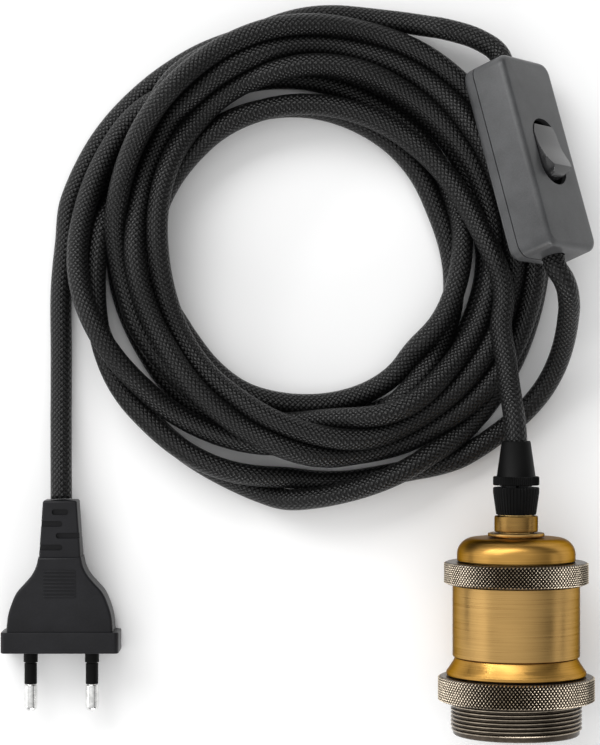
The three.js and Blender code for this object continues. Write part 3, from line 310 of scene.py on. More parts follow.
def push_off_switch(points, inverse, place):
    """Keeps points out of the switch's leaning case, by the shortest way to below its base."""
    local = points @ inverse[:3, :3].T + inverse[:3, 3]
    low = -SWITCH_HALF_HEIGHT - CORD_RADIUS
    side = SWITCH_HALF_WIDTH + CORD_RADIUS
    end = SWITCH_HALF_LENGTH + CORD_RADIUS
    inside = (abs(local[:, 2]) < -low) & (abs(local[:, 0]) < side) & (abs(local[:, 1]) < end)
    to_base = local[:, 2] - low
    to_side = local[:, 0] + side
    below = inside & (to_base <= to_side)
    beside = inside & (to_base > to_side)
    local[below, 2] = low
    local[beside, 0] = -side
    return local @ place[:3, :3].T + place[:3, 3]


def settle(chains, fixed_ends):
    """Settles several cords together and returns their points."""
    sizes = [len(chain) for chain in chains]
    points = np.vstack(chains)
    goal = points.copy()
    cord = np.repeat(np.arange(len(chains)), sizes)
    order = np.concatenate([np.arange(size) for size in sizes])
    near = (cord[:, None] == cord[None, :]) & (abs(order[:, None] - order[None, :]) <= NEIGHBOURS)
    starts = np.cumsum([0] + sizes[:-1])
    free = np.ones(len(points), bool)
    for start, size, (first, last) in zip(starts, sizes, fixed_ends):
        free[start:start + first] = False
        free[start + size - last:start + size] = False
    inner = np.concatenate([np.arange(start + 1, start + size - 1) for start, size in zip(starts, sizes)])
    place = np.array(switch_place)
    inverse = np.array(switch_place.inverted())
    for _ in range(SETTLE_STEPS):
        points[free, 2] -= SINK
        middle = (points[inner - 1] + points[inner + 1]) / 2
        moved = points.copy()
        moved[inner] += STRAIGHTEN * (middle - points[inner])
        points[free] = moved[free]
        points[free, :2] += HOLD * (goal[free, :2] - points[free, :2])
        for _ in range(2):
            gap = points[:, None, :] - points[None, :, :]
            distance = np.sqrt((gap**2).sum(axis=2)) + 1e-9
            close = (distance < SPACING) & ~near
            push = np.where(close, (SPACING - distance) / distance, 0) * 0.5
            shift = (gap * push[:, :, None]).sum(axis=1)
            count = np.maximum(close.sum(axis=1), 1)
            points[free] += (shift / np.sqrt(count)[:, None])[free]
            points[:, 2] = np.maximum(points[:, 2], CORD_RADIUS)
            points[free] = push_off_switch(points, inverse, place)[free]
    gap = points[:, None, :] - points[None, :, :]
    closest = (np.sqrt((gap**2).sum(axis=2)) + near * 1.0).min()
    print("closest strands", round(float(closest) / MM, 2), "mm, highest", round(points[:, 2].max() / MM, 1))
    return [points[start:start + size] for start, size in zip(starts, sizes)]


plug_cord_start = smooth_points(plug_cord_route, POINT_STEP)
lamp_cord_start = smooth_points(lamp_cord_route, POINT_STEP)
plug_cord_line, lamp_cord_line = settle([plug_cord_start, lamp_cord_start], FIXED_ENDS)
plug_cord_line = plug_cord_line[::-1]
lamp_cord_line = lamp_cord_line[::-1]
for label, line in (("plug", plug_cord_line), ("lamp", lamp_cord_line)):
    print(label, "cord", round(length_of(line), 3), "m")

# %% [markdown]
# The cord is drawn as a tube along its settled line. Each ring of the tube is turned into the next
# one by the smallest turn, so the braid doesn't spin. The tube's own UV map holds how far round
# and how far along each point is, and the braid is drawn from that.

# %% Tube along a line
TUBE_SIDES = 20
TUBE_STEP = 1.3 * MM


def cord_tube(name, line, radius):
    """A closed tube along a line, with U round it and V along it in metres."""
    route = smooth_points([Vector(point) for point in line], TUBE_STEP)
    along = np.concatenate([[0], np.cumsum(np.linalg.norm(np.diff(route, axis=0), axis=1))])
    tangents = np.gradient(route, axis=0)
    side = Vector(tangents[0]).orthogonal().normalized()
    work = bmesh.new()
    uv = work.loops.layers.uv.new("UVMap")
    rings = []
    direction = Vector(tangents[0]).normalized()
    for spot, tangent in zip(route, tangents):
        new_direction = Vector(tangent).normalized()
        side = direction.rotation_difference(new_direction) @ side
        direction = new_direction
        up = direction.cross(side)
        ring = []
        for i in range(TUBE_SIDES):
            turn = 2 * math.pi * i / TUBE_SIDES
            ring.append(work.verts.new(Vector(spot) + radius * (math.cos(turn) * side + math.sin(turn) * up)))
        rings.append(ring)
    for j in range(len(rings) - 1):
        for i in range(TUBE_SIDES):
            k = (i + 1) % TUBE_SIDES
            face = work.faces.new((rings[j][i], rings[j][k], rings[j + 1][k], rings[j + 1][i]))
            corners = ((i, j), (i + 1, j), (i + 1, j + 1), (i, j + 1))
            for loop, (u, v) in zip(face.loops, corners):
                loop[uv].uv = (u / TUBE_SIDES, along[v])
            face.smooth = True
    work.faces.new(list(reversed(rings[0])))
    work.faces.new(rings[-1])
    piece = new_object(name, work)
    print(name, len(piece.data.polygons), "faces", round(along[-1], 3), "m")
    return piece, route, float(along[-1])


plug_cord, plug_cord_path, plug_cord_length = cord_tube("plug_cord", plug_cord_line, CORD_RADIUS)
lamp_cord, lamp_cord_path, lamp_cord_length = cord_tube("lamp_cord", lamp_cord_line, CORD_RADIUS)

# %% [markdown]
# The braid is woven from two sets of yarn that wind round the cord in opposite ways and cross over
# and under. Both are drawn by numbers: how far round plus or minus how far along. Where the two
# counts are both even or both odd one set is on top, and elsewhere the other. The yarn's colour
# carries painted light: painted shade in the gaps between yarns and a painted highlight on each crest.

# %% Braid material
BRAID_YARNS = 12
BRAID_PITCH = 1.7 * MM


class NodeDesk:
    """A few short words for building a material's nodes."""

    def __init__(self, name):
        self.material = bpy.data.materials.new(name)
        self.material.use_nodes = True
        self.tree = self.material.node_tree
        self.shader = self.tree.nodes["Principled BSDF"]

    def node(self, kind, **settings):
        made = self.tree.nodes.new(kind)
        for key, value in settings.items():
            setattr(made, key, value)
        return made

    def link(self, output, target):
        self.tree.links.new(output, target)

    def math(self, operation, a, b=None, c=None):
        made = self.node("ShaderNodeMath", operation=operation)
        for socket, value in zip(made.inputs, (a, b, c)):
            if value is None:
                continue
            if isinstance(value, (int, float)):
                socket.default_value = value
            else:
                self.link(value, socket)
        return made.outputs[0]

    def ramp(self, factor, *stops):
        made = self.node("ShaderNodeValToRGB")
        ramp = made.color_ramp
        while len(ramp.elements) < len(stops):
            ramp.elements.new(0.5)
        for element, (place, color) in zip(ramp.elements, stops):
            element.position = place
            element.color = (*color, 1)
        self.link(factor, made.inputs["Fac"])
        return made.outputs["Color"]

    def noise(self, vector, scale, detail=3.0, roughness=0.5):
        made = self.node("ShaderNodeTexNoise")
        made.inputs["Scale"].default_value = scale
        made.inputs["Detail"].default_value = detail
        made.inputs["Roughness"].default_value = roughness
        self.link(vector, made.inputs["Vector"])
        return made.outputs["Fac"]

    def object_place(self, scale=(1, 1, 1)):
        place = self.node("ShaderNodeTexCoord").outputs["Object"]
        mapping = self.node("ShaderNodeMapping")
        mapping.inputs["Scale"].default_value = scale
        self.link(place, mapping.inputs["Vector"])
        return mapping.outputs["Vector"]

    def bump(self, height, distance, strength=1.0):
        made = self.node("ShaderNodeBump")
        made.inputs["Distance"].default_value = distance
        made.inputs["Strength"].default_value = strength
        self.link(height, made.inputs["Height"])
        self.link(made.outputs["Normal"], self.shader.inputs["Normal"])

    def paint(self, output):
        self.link(output, self.shader.inputs["Base Color"])

    def roughen(self, output):
        self.link(output, self.shader.inputs["Roughness"])

    def set(self, **values):
        for key, value in values.items():
            self.shader.inputs[key.replace("_", " ")].default_value = value


def braid_material():
    desk = NodeDesk("black_braid")
    uv = desk.node("ShaderNodeUVMap", uv_map="UVMap")
    split = desk.node("ShaderNodeSeparateXYZ")
    desk.link(uv.outputs["UV"], split.inputs["Vector"])
    round_it = desk.math("MULTIPLY", split.outputs["X"], BRAID_YARNS)
    along_it = desk.math("DIVIDE", split.outputs["Y"], BRAID_PITCH)
    right = desk.math("ADD", round_it, along_it)
    left = desk.math("SUBTRACT", round_it, along_it)
    cells = desk.math("ADD", desk.math("FLOOR", right), desk.math("FLOOR", left))
    odd = desk.math("PINGPONG", cells, 1)

    def arch(value):
        part = desk.math("SUBTRACT", desk.math("FRACT", value), 0.5)
        return desk.math("SUBTRACT", 1.0, desk.math("MULTIPLY", desk.math("MULTIPLY", part, part), 4.0))

    right_arch = arch(right)
    left_arch = arch(left)
    right_top = desk.math("MULTIPLY", right_arch, desk.math("MULTIPLY_ADD", left_arch, 0.6, 0.4))
    left_top = desk.math("MULTIPLY", left_arch, desk.math("MULTIPLY_ADD", right_arch, 0.6, 0.4))
    mix = desk.node("ShaderNodeMix", data_type="FLOAT")
    desk.link(odd, mix.inputs[0])
    desk.link(right_top, mix.inputs[2])
    desk.link(left_top, mix.inputs[3])
    height = mix.outputs[0]
    # Painted light: near black in the gaps between yarns as painted shade, lighter on the crests as painted
    # highlight.
    painted_gap_shade_and_crest_highlight = [(0.0, 0.0005), (0.7, 0.002), (0.86, 0.008), (1.0, 0.045)]
    desk.paint(desk.ramp(height, *[(place, (grey,) * 3) for place, grey in painted_gap_shade_and_crest_highlight]))
    desk.roughen(desk.math("MULTIPLY_ADD", height, -0.22, 0.44))
    desk.set(Sheen_Weight=0.01, Sheen_Roughness=0.4, Specular_IOR_Level=0.26)
    desk.bump(height, 0.22 * MM)
    return desk.material


black_braid = braid_material()
for cord in (plug_cord, lamp_cord):
    cord.data.materials.append(black_braid)
print("braid has", BRAID_YARNS, "yarns each way")

# %% [markdown]
# The lamp holder is a stack of turned metal pieces on one axis. Each is a section, spun round that
# axis. The corners of a section are softened first, because a sharp edge catches no light. Where
# each piece begins and ends along the axis comes from the frame.

# %% Turned pieces
def softened(section, radius, steps=3):
    """The closed section with each corner replaced by a small curve."""
    soft = []
    count = len(section)
    for i in range(count):
        corner = Vector(section[i])
        before = Vector(section[i - 1]) - corner
        after = Vector(section[(i + 1) % count]) - corner
        reach = min(radius, before.length * 0.45, after.length * 0.45)
        if corner.x < 1e-6 or reach < 1e-6:
            soft.append(corner)
            continue
        first = corner + before.normalized() * reach
        last = corner + after.normalized() * reach
        for k in range(steps + 1):
            t = k / steps
            soft.append((1 - t) ** 2 * first + 2 * t * (1 - t) * corner + t**2 * last)
    return soft


def spun(section, steps, height=HOLDER_AXIS):
    """A bmesh with a section of (radius, along) spun once round an axis along Y."""
    work = bmesh.new()
    chain = [work.verts.new((radius, along, height)) for radius, along in section]
    edges = [work.edges.new((a, b)) for a, b in zip(chain, chain[1:])]
    if section[0][0] > 0:
        edges.append(work.edges.new((chain[-1], chain[0])))
    bmesh.ops.spin(work, geom=chain + edges, cent=(0, 0, height), axis=(0, 1, 0), dvec=(0, 0, 0),
                   angle=2 * math.pi, steps=steps, use_merge=True)
    bmesh.ops.remove_doubles(work, verts=work.verts, dist=1e-7)
    bmesh.ops.recalc_face_normals(work, faces=work.faces)
    return work


def finished(name, work, body, material, sharp=32, stands_for=()):
    """Turns a bmesh into a piece of the object that rides on a body."""
    piece = new_object(name, work)
    mesh = piece.data
    mesh.polygons.foreach_set("use_smooth", [sharp > 0] * len(mesh.polygons))
    if sharp > 0:
        mesh.set_sharp_from_angle(angle=math.radians(sharp))
    mesh.materials.append(material)
    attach(piece, body)
    if stands_for:
        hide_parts(*stands_for)
    print(name, len(mesh.polygons), "faces")
    return piece


def span(node):
    low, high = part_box(node)
    return low[1], high[1]


# %% [markdown]
# Antique brass is brushed round the axis, so its fine scratches are bands along Y that hardly
# change round the piece. They shift the roughness and the colour a little. The thin brown lacquer
# is darker where it is thick, and the noise that shows it is long round the piece too.

# %% Metal finishes
def brushed_brass(name, light, dark, roughness):
    desk = NodeDesk(name)
    scratches = desk.noise(desk.object_place((25, 2600, 25)), 1.0, 3.0, 0.7)
    lacquer = desk.noise(desk.object_place((40, 90, 40)), 1.0, 3.0)
    tint = desk.math("MULTIPLY_ADD", scratches, 0.75, desk.math("MULTIPLY", lacquer, 0.25))
    desk.paint(desk.ramp(tint, (0.3, dark), (0.7, light)))
    desk.roughen(desk.math("MULTIPLY_ADD", scratches, 0.25, roughness - 0.12))
    desk.set(Metallic=1.0, Anisotropic=0.5, Specular_Tint=(0.3, 0.28, 0.26, 1))
    desk.bump(scratches, 0.02 * MM, 0.6)
    return desk.material


def knurl_bronze():
    desk = NodeDesk("knurled_bronze")
    lift = desk.node("ShaderNodeAttribute", attribute_name="lift").outputs["Fac"]
    grime = desk.noise(desk.object_place(), 900, 3.0)
    level = desk.math("MULTIPLY_ADD", grime, 0.25, desk.math("SUBTRACT", lift, 0.1))
    valley, slope, tip = (0.012, 0.009, 0.006), (0.11, 0.09, 0.07), (0.72, 0.62, 0.48)
    desk.paint(desk.ramp(level, (0.1, valley), (0.45, slope), (0.85, tip)))
    desk.set(Metallic=1.0, Roughness=0.34)
    desk.bump(grime, 0.02 * MM, 0.5)
    return desk.material


brass = brushed_brass("antique_brass", (0.56, 0.35, 0.125), (0.36, 0.21, 0.07), 0.3)
dark_brass = brushed_brass("dark_brass", (0.34, 0.2, 0.06), (0.18, 0.1, 0.03), 0.28)
gold_brass = brushed_brass("golden_brass", (0.6, 0.34, 0.09), (0.36, 0.19, 0.04), 0.34)
ridge_bronze = knurl_bronze()
print("metal finishes ready")

# %% [markdown]
# The shell is a plain cylinder, the collar below it flares out to the lower ring, and the dome
# closes the top with a wide round shoulder. A washer and a short neck carry the cord grip.

# %% Shell, collar, dome and neck
TURN_STEPS = 128
BORE = 17.3 * MM
NIPPLE_BORE = 5.25 * MM
SHELL_RADIUS = 18.85 * MM
WASHER_RADIUS = 8.4 * MM
NECK_RADIUS = 6.45 * MM


def brass_sleeve(name, node, radius, bore, material, softness=0.4 * MM):
    start, end = span(node)
    section = softened([(bore, start), (radius, start), (radius, end), (bore, end)], softness)
    return finished(name, spun(section, TURN_STEPS), "cord_set", material, stands_for=(node,))


def flare_collar():
    start, end = span("flare_collar")
    wide, neck = 20.7 * MM, 18.1 * MM
    steps = 14
    section = [(BORE, start), (wide - 0.25 * MM, start), (wide, start + 0.3 * MM)]
    for i in range(steps + 1):
        share = i / steps
        radius = wide - (wide - neck) * (0.75 * share + 0.25 * math.sin(share * math.pi / 2))
        section.append((radius, start + (end - start) * (0.2 + 0.8 * share)))
    section.append((BORE, end))
    return finished("flared_collar", spun(section, TURN_STEPS), "cord_set", gold_brass,
                    stands_for=("flare_collar",))


def dome_cap():
    start, end = span("dome_cap")
    rim = start + 3.2 * MM
    radius, shoulder, wall = 17.55 * MM, 5.0 * MM, 1.2 * MM
    spigot = 15.5 * MM
    steps = 16
    section = [(spigot - wall, start), (spigot, start), (spigot, rim), (radius - 0.2 * MM, rim),
               (radius, rim + 0.2 * MM)]
    for i in range(steps + 1):
        angle = math.pi / 2 * i / steps
        rise = end - shoulder + shoulder * math.sin(angle)
        section.append((radius - shoulder * (1 - math.cos(angle)), rise))
    section += [(NIPPLE_BORE, end), (NIPPLE_BORE, end - wall)]
    section += [(spigot - 3 * wall, end - wall), (spigot - wall, end - 3 * wall)]
    return finished("domed_cap", spun(section, TURN_STEPS), "cord_set", gold_brass,
                    stands_for=("dome_cap",))


brass_sleeve("shell_cylinder", "shell_body", SHELL_RADIUS, BORE, brass)
flare_collar()
dome_cap()
brass_sleeve("dome_washer", "ledge_washer", WASHER_RADIUS, NIPPLE_BORE, brass)
brass_sleeve("neck_sleeve", "neck_collar", NECK_RADIUS, NIPPLE_BORE, dark_brass, 0.5 * MM)

# %% [markdown]
# Knurling is two sets of V grooves that cross, and its diamonds are about 1 mm wide and taller than
# that. A grid of columns round the rim and rows along it makes it: every second point is a tip, and
# the others are sunk. The grooves run through the sunk points, so each face is split between its
# two sunk corners. The height of each point is kept as an attribute, and the finish uses it for
# rubbed bright tips and dark valleys.

# %% Knurled rings
KNURL_PITCH = 1.12 * MM
KNURL_ROWS = 9
KNURL_DEPTH = 0.5 * MM
LOWER_RING_RADIUS = 23.25 * MM
LOWER_RING_BORE = 19.7 * MM
UPPER_RING_RADIUS = 21.45 * MM


def knurled_ring(name, node, radius, bore):
    start, end = span(node)
    edge = 0.9 * MM
    columns = 2 * round(2 * math.pi * radius / KNURL_PITCH)
    first, last = start + edge / 2, end - edge / 2
    rim = [(radius, first + (last - first) * i / KNURL_ROWS) for i in range(KNURL_ROWS + 1)]
    section = [(bore, start), (radius - edge, start)] + rim + [(radius - edge, end), (bore, end)]
    work = spun(section, columns)
    lift = work.verts.layers.float.new("lift")
    sunk = []
    for vert in work.verts:
        across = Vector((vert.co.x, 0, vert.co.z - HOLDER_AXIS))
        vert[lift] = 0.3
        if across.length < radius - edge / 2:
            continue
        column = round(math.atan2(across.z, across.x) / (2 * math.pi) * columns)
        row = round((vert.co.y - first) / (last - first) * KNURL_ROWS)
        vert[lift] = 1.0
        if (column + row) % 2:
            vert[lift] = 0.0
            sunk.append(vert)
            vert.co -= across.normalized() * KNURL_DEPTH
    bmesh.ops.connect_verts(work, verts=sunk)
    return finished(name, work, node, ridge_bronze, sharp=0, stands_for=(node,))


knurled_ring("knurled_lower_ring", "lower_ring", LOWER_RING_RADIUS, LOWER_RING_BORE)
knurled_ring("knurled_upper_ring", "upper_ring", UPPER_RING_RADIUS, BORE)

# %% [markdown]
# Below the lower ring the sleeve carries an outer thread. A thread is a ridge that climbs one pitch
# each turn, and spin makes that with a step along the axis. The ridge is a three-cornered section
# that sits on a plain sleeve, and it fades out near the rim as a real thread does.

# %% Threaded sleeve
THREAD_PITCH = 1.2 * MM
THREAD_CREST = 19.4 * MM
THREAD_ROOT = 18.7 * MM
THREAD_STEPS = 96
MOUTH_RADIUS = 15.8 * MM
SLEEVE_RADIUS = 17.0 * MM


def plain_sleeve():
    start, end = span("threaded_sleeve")
    ring_end = span("lower_ring")[1]
    section = [(MOUTH_RADIUS, start), (THREAD_ROOT - 0.3 * MM, start), (THREAD_ROOT, start + 0.3 * MM),
               (THREAD_ROOT, ring_end), (SLEEVE_RADIUS, ring_end), (SLEEVE_RADIUS, end), (MOUTH_RADIUS, end)]
    work = spun(section, TURN_STEPS)
    lift = work.verts.layers.float.new("lift")
    for vert in work.verts:
        vert[lift] = 0.3
    return finished("threaded_mouth", work, "cord_set", ridge_bronze,
                    stands_for=("threaded_sleeve",))


def thread_ridge():
    start = span("threaded_sleeve")[0] + 0.9 * MM
    end = span("lower_ring")[1] - 1.0 * MM
    turns = int((end - start) / THREAD_PITCH)
    work = bmesh.new()
    half = THREAD_PITCH * 0.47
    corners = [(THREAD_ROOT - 0.1 * MM, start - half), (THREAD_CREST, start - 0.12 * MM),
               (THREAD_CREST, start + 0.12 * MM), (THREAD_ROOT - 0.1 * MM, start + half)]
    chain = [work.verts.new((radius, along, HOLDER_AXIS)) for radius, along in corners]
    edges = [work.edges.new((chain[i - 1], chain[i])) for i in (1, 2, 3, 0)]
    bmesh.ops.spin(work, geom=chain + edges, cent=(0, 0, HOLDER_AXIS), axis=(0, 1, 0),
                   dvec=(0, THREAD_PITCH / THREAD_STEPS, 0), angle=2 * math.pi * turns,
                   steps=THREAD_STEPS * turns)
    bmesh.ops.holes_fill(work, edges=work.edges, sides=4)
    bmesh.ops.recalc_face_normals(work, faces=work.faces)
    lift = work.verts.layers.float.new("lift")
    for vert in work.verts:
        across = Vector((vert.co.x, 0, vert.co.z - HOLDER_AXIS))
        crest = across.length > THREAD_ROOT + 0.2 * MM
        vert[lift] = 0.6 if crest else 0.05
        if crest:
            fade = min(1, max(0.1, (vert.co.y - start + 0.2 * MM) / THREAD_PITCH))
            vert.co -= across.normalized() * (1 - fade) * (THREAD_CREST - THREAD_ROOT)
    return finished("mouth_thread", work, "cord_set", ridge_bronze, sharp=50)


plain_sleeve()
thread_ridge()

# %% [markdown]
# The cord grip is black moulded plastic with a satin face: a ribbed lower half, and a cap with a
# toothed flange that tapers to the cord. The fine ribs are made like the knurling, with whole
# columns of points sunk instead of every second one.

# %% Plastic finishes
def moulded_plastic(name, color, roughness, grain_size, grain_depth, shine=0.5, spread=1.35):
    desk = NodeDesk(name)
    grain = desk.noise(desk.object_place(), 1 / grain_size, 4.0, 0.6)
    cloud = desk.noise(desk.object_place(), 120, 2.0)
    mixed = desk.math("MULTIPLY_ADD", cloud, 0.5, desk.math("MULTIPLY", grain, 0.5))
    dark = tuple(part / spread for part in color)
    light = tuple(part * spread for part in color)
    desk.paint(desk.ramp(mixed, (0.35, dark), (0.65, light)))
    desk.roughen(desk.math("MULTIPLY_ADD", cloud, 0.12, roughness - 0.06))
    desk.set(Specular_IOR_Level=shine)
    desk.bump(grain, grain_depth, 0.5)
    return desk.material


black_satin = moulded_plastic("black_satin_plastic", (0.009, 0.009, 0.0105), 0.4, 0.5 * MM, 0.02 * MM, 0.22)
black_matte = moulded_plastic("black_matte_plastic", (0.004, 0.004, 0.004), 0.45, 0.5 * MM, 0.02 * MM, 0.08)
grey_grain = moulded_plastic("grey_grained_plastic", (0.055, 0.056, 0.058), 0.36, 0.35 * MM, 0.03 * MM, 0.4)
gloss_black = moulded_plastic("polished_black_plastic", (0.02, 0.02, 0.021), 0.14, 2 * MM, 0.004 * MM, 0.7)
print("plastic finishes ready")

# %% Cord grip
GRIP_RADIUS = 6.85 * MM


def sink_columns(work, columns, least_radius, along, depth, pattern):
    """Sinks whole columns of a spun piece, by a repeating pattern of 0 and 1."""
    low, high = along
    for vert in work.verts:
        across = Vector((vert.co.x, 0, vert.co.z - HOLDER_AXIS))
        if across.length < least_radius or not low <= vert.co.y <= high:
            continue
        column = round(math.atan2(across.z, across.x) / (2 * math.pi) * columns) % columns
        vert.co -= across.normalized() * depth * pattern[column % len(pattern)]


def grip_body():
    start, end = span("grip_body")
    columns = 168
    section = [(NIPPLE_BORE, start), (5.75 * MM, start), (5.95 * MM, start + 0.2 * MM),
               (GRIP_RADIUS, end - 1.5 * MM), (GRIP_RADIUS, end - 0.25 * MM), (6.65 * MM, end),
               (NIPPLE_BORE, end)]
    work = spun(section, columns)
    sink_columns(work, columns, 5.5 * MM, (start - 1, end + 1), 0.28 * MM, (0, 0, 1, 1))
    return finished("ribbed_grip", work, "cord_set", black_matte, sharp=30,
                    stands_for=("grip_body",))


def grip_cap():
    start, end = span("grip_cap")
    flange_end = start + 2.6 * MM
    columns = 144
    section = [(NIPPLE_BORE, start), (6.6 * MM, start), (GRIP_RADIUS, start + 0.25 * MM),
               (GRIP_RADIUS, flange_end - 0.25 * MM), (6.6 * MM, flange_end), (5.85 * MM, flange_end),
               (5.75 * MM, flange_end + 0.15 * MM), (4.3 * MM, end - 0.25 * MM), (4.05 * MM, end),
               (CORD_HOLE, end), (CORD_HOLE, end - 4.5 * MM), (4.5 * MM, end - 5.5 * MM),
               (NIPPLE_BORE, start + 3 * MM)]
    work = spun(section, columns)
    sink_columns(work, columns, 6.5 * MM, (start - 1, flange_end + 1), 0.22 * MM, (0, 1))
    return finished("grip_cap_cone", work, "cord_set", black_matte, sharp=30,
                    stands_for=("grip_cap",))


grip_body()
grip_cap()

# %% [markdown]
# The switch case, the rocker and the plug have flat faces and round corners. Each begins as a flat
# outline that is extruded, and its edges are bevelled. Holes are cut with Boolean modifiers, which
# are applied so that the mesh itself has the shape.

# %% Outlines and cuts
def stadium(width, length, corner, steps=8):
    """Points of a rectangle with round corners, counter-clockwise."""
    x, y = width / 2 - corner, length / 2 - corner
    points = []
    for quarter, (cx, cy) in enumerate(((x, y), (-x, y), (-x, -y), (x, -y))):
        for i in range(steps + 1):
            angle = math.pi / 2 * (quarter + i / steps)
            points.append((cx + corner * math.cos(angle), cy + corner * math.sin(angle)))
    return points


def round_off(work, edges, rounding, segments):
    bmesh.ops.bevel(work, geom=edges, offset=rounding, offset_type="OFFSET", segments=segments, profile=0.5,
                    affect="EDGES", material=-1, clamp_overlap=True)


def slab(outline, low, high, rounding=0, segments=5):
    """A bmesh of an outline in X and Y, extruded along Z, with its top and bottom edges rounded."""
    work = bmesh.new()
    work.faces.new([work.verts.new((x, y, low)) for x, y in outline])
    bmesh.ops.remove_doubles(work, verts=work.verts, dist=1e-7)
    grown = bmesh.ops.extrude_face_region(work, geom=list(work.faces), use_keep_orig=True)
    top = [part for part in grown["geom"] if isinstance(part, bmesh.types.BMVert)]
    bmesh.ops.translate(work, verts=top, vec=(0, 0, high - low))
    bmesh.ops.recalc_face_normals(work, faces=work.faces)
    if rounding:
        rims = [edge for edge in work.edges if abs(edge.verts[0].co.z - edge.verts[1].co.z) < 1e-7]
        round_off(work, rims, rounding, segments)
        bmesh.ops.remove_doubles(work, verts=work.verts, dist=1e-6)
    return work


def carved(base, tools):
    """The bmesh that is left of a base after Boolean tools of (operation, object), which are removed."""
    for operation, tool in tools:
        modifier = base.modifiers.new(operation, "BOOLEAN")
        modifier.operation = operation
        modifier.solver = "EXACT"
        modifier.object = tool
    shape = base.evaluated_get(bpy.context.evaluated_depsgraph_get())
    work = bmesh.new()
    work.from_mesh(shape.to_mesh())
    shape.to_mesh_clear()
    for gone in [base] + [tool for _, tool in tools]:
        bpy.data.objects.remove(gone)
    bmesh.ops.remove_doubles(work, verts=work.verts, dist=1e-6)
    bmesh.ops.dissolve_degenerate(work, edges=work.edges, dist=1e-7)
    return work


print("outline tools ready")

# %% [markdown]
# The case is two shells that meet a little above its base, and the photograph shows the fine line
# between them. Both come from one block with large corners and soft edges, a little narrower
# towards the top and the base. The rocker sits in a long round-ended opening.

# %% Switch case
CASE_CORNER = 4.0 * MM
CASE_ROUNDING = 1.8 * MM
CASE_TAPER = 0.04
CASE_WALL = 1.6 * MM
CASE_SPLIT = 3.9 * MM
SPLIT_LINE = 0.3 * MM
ROCKER_WIDTH = 11.6 * MM
OPENING_HALF = 10.6 * MM
switch_split = -SWITCH_HALF_HEIGHT + CASE_SPLIT


def cut_flat(work, height, side=1, clear=False):
    """Cuts a bmesh at a height, and drops what lies beyond it if asked."""
    everything = work.verts[:] + work.edges[:] + work.faces[:]
    cut = bmesh.ops.bisect_plane(work, geom=everything, plane_co=(0, 0, height), plane_no=(0, 0, side),
                                 clear_outer=clear)
    return [part for part in cut["geom_cut"] if isinstance(part, bmesh.types.BMEdge)]


def case_half(name, node, low, high):
    """The case between two heights, as a hollow shell."""
    outline = stadium(2 * SWITCH_HALF_WIDTH, 2 * SWITCH_HALF_LENGTH, CASE_CORNER)
    block = slab(outline, -SWITCH_HALF_HEIGHT, SWITCH_HALF_HEIGHT, CASE_ROUNDING)
    cut_flat(block, switch_split)
    for vert in block.verts:
        vert.co.x *= 1 - CASE_TAPER * abs(vert.co.z - switch_split) / (2 * SWITCH_HALF_HEIGHT)
    for height, side in ((low, -1), (high, 1)):
        if abs(height) < SWITCH_HALF_HEIGHT:
            bmesh.ops.contextual_create(block, geom=cut_flat(block, height, side, clear=True))
    bmesh.ops.recalc_face_normals(block, faces=block.faces)
    base = new_object("case_block", block)
    room_width = 2 * (SWITCH_HALF_WIDTH * (1 - CASE_TAPER) - CASE_WALL)
    room_length = 2 * (SWITCH_HALF_LENGTH - CASE_WALL)
    room_half_height = SWITCH_HALF_HEIGHT - CASE_WALL
    room_outline = stadium(room_width, room_length, CASE_CORNER - CASE_WALL)
    room = slab(room_outline, -room_half_height, room_half_height)
    hole = bmesh.new()
    along_cord = Matrix.Translation((0, 0, SWITCH_CORD_HEIGHT)) @ Matrix.Rotation(math.pi / 2, 4, "X")
    bmesh.ops.create_cone(hole, cap_ends=True, segments=32, radius1=CORD_HOLE, radius2=CORD_HOLE,
                          depth=80 * MM, matrix=along_cord)
    tools = [("DIFFERENCE", new_object("case_room", room)), ("DIFFERENCE", new_object("case_hole", hole))]
    if high > 0:
        outline = stadium(ROCKER_WIDTH + 1 * MM, 2 * OPENING_HALF, (ROCKER_WIDTH + 0.9 * MM) / 2)
        opening = new_object("case_opening", slab(outline, 0, 10 * MM))
        tools.append(("DIFFERENCE", opening))
    work = carved(base, tools)
    bmesh.ops.transform(work, matrix=switch_place, verts=work.verts)
    return finished(name, work, "cord_set", grey_grain, sharp=28, stands_for=(node,))


case_base = case_half("switch_base_shell", "switch_lower_case", -SWITCH_HALF_HEIGHT, switch_split)
case_top = case_half("switch_top_shell", "switch_upper_case", switch_split + SPLIT_LINE, SWITCH_HALF_HEIGHT)

# %% [markdown]
# The rocker is a polished button with a hollow top and two raised ends that slope outwards. Its side
# view is drawn as a curve and made as wide as the rocker, and only what lies within its round-ended
# outline is kept. At rest its upper end is pressed in and its lower end stands up.

# %% Rocker
ROCKER_LENGTH = 18.8 * MM
ROCKER_TILT = math.radians(12.0)
ROCKER_AXIS_HEIGHT = SWITCH_HALF_HEIGHT - 4.35 * MM
ROCKER_TOP = 6.2 * MM
ROCKER_HOLLOW = 0.95 * MM
ROCKER_DEPTH = 2.0 * MM
ROCKER_END_SLOPE = 1.8 * MM
ROCKER_EDGE = 0.5 * MM


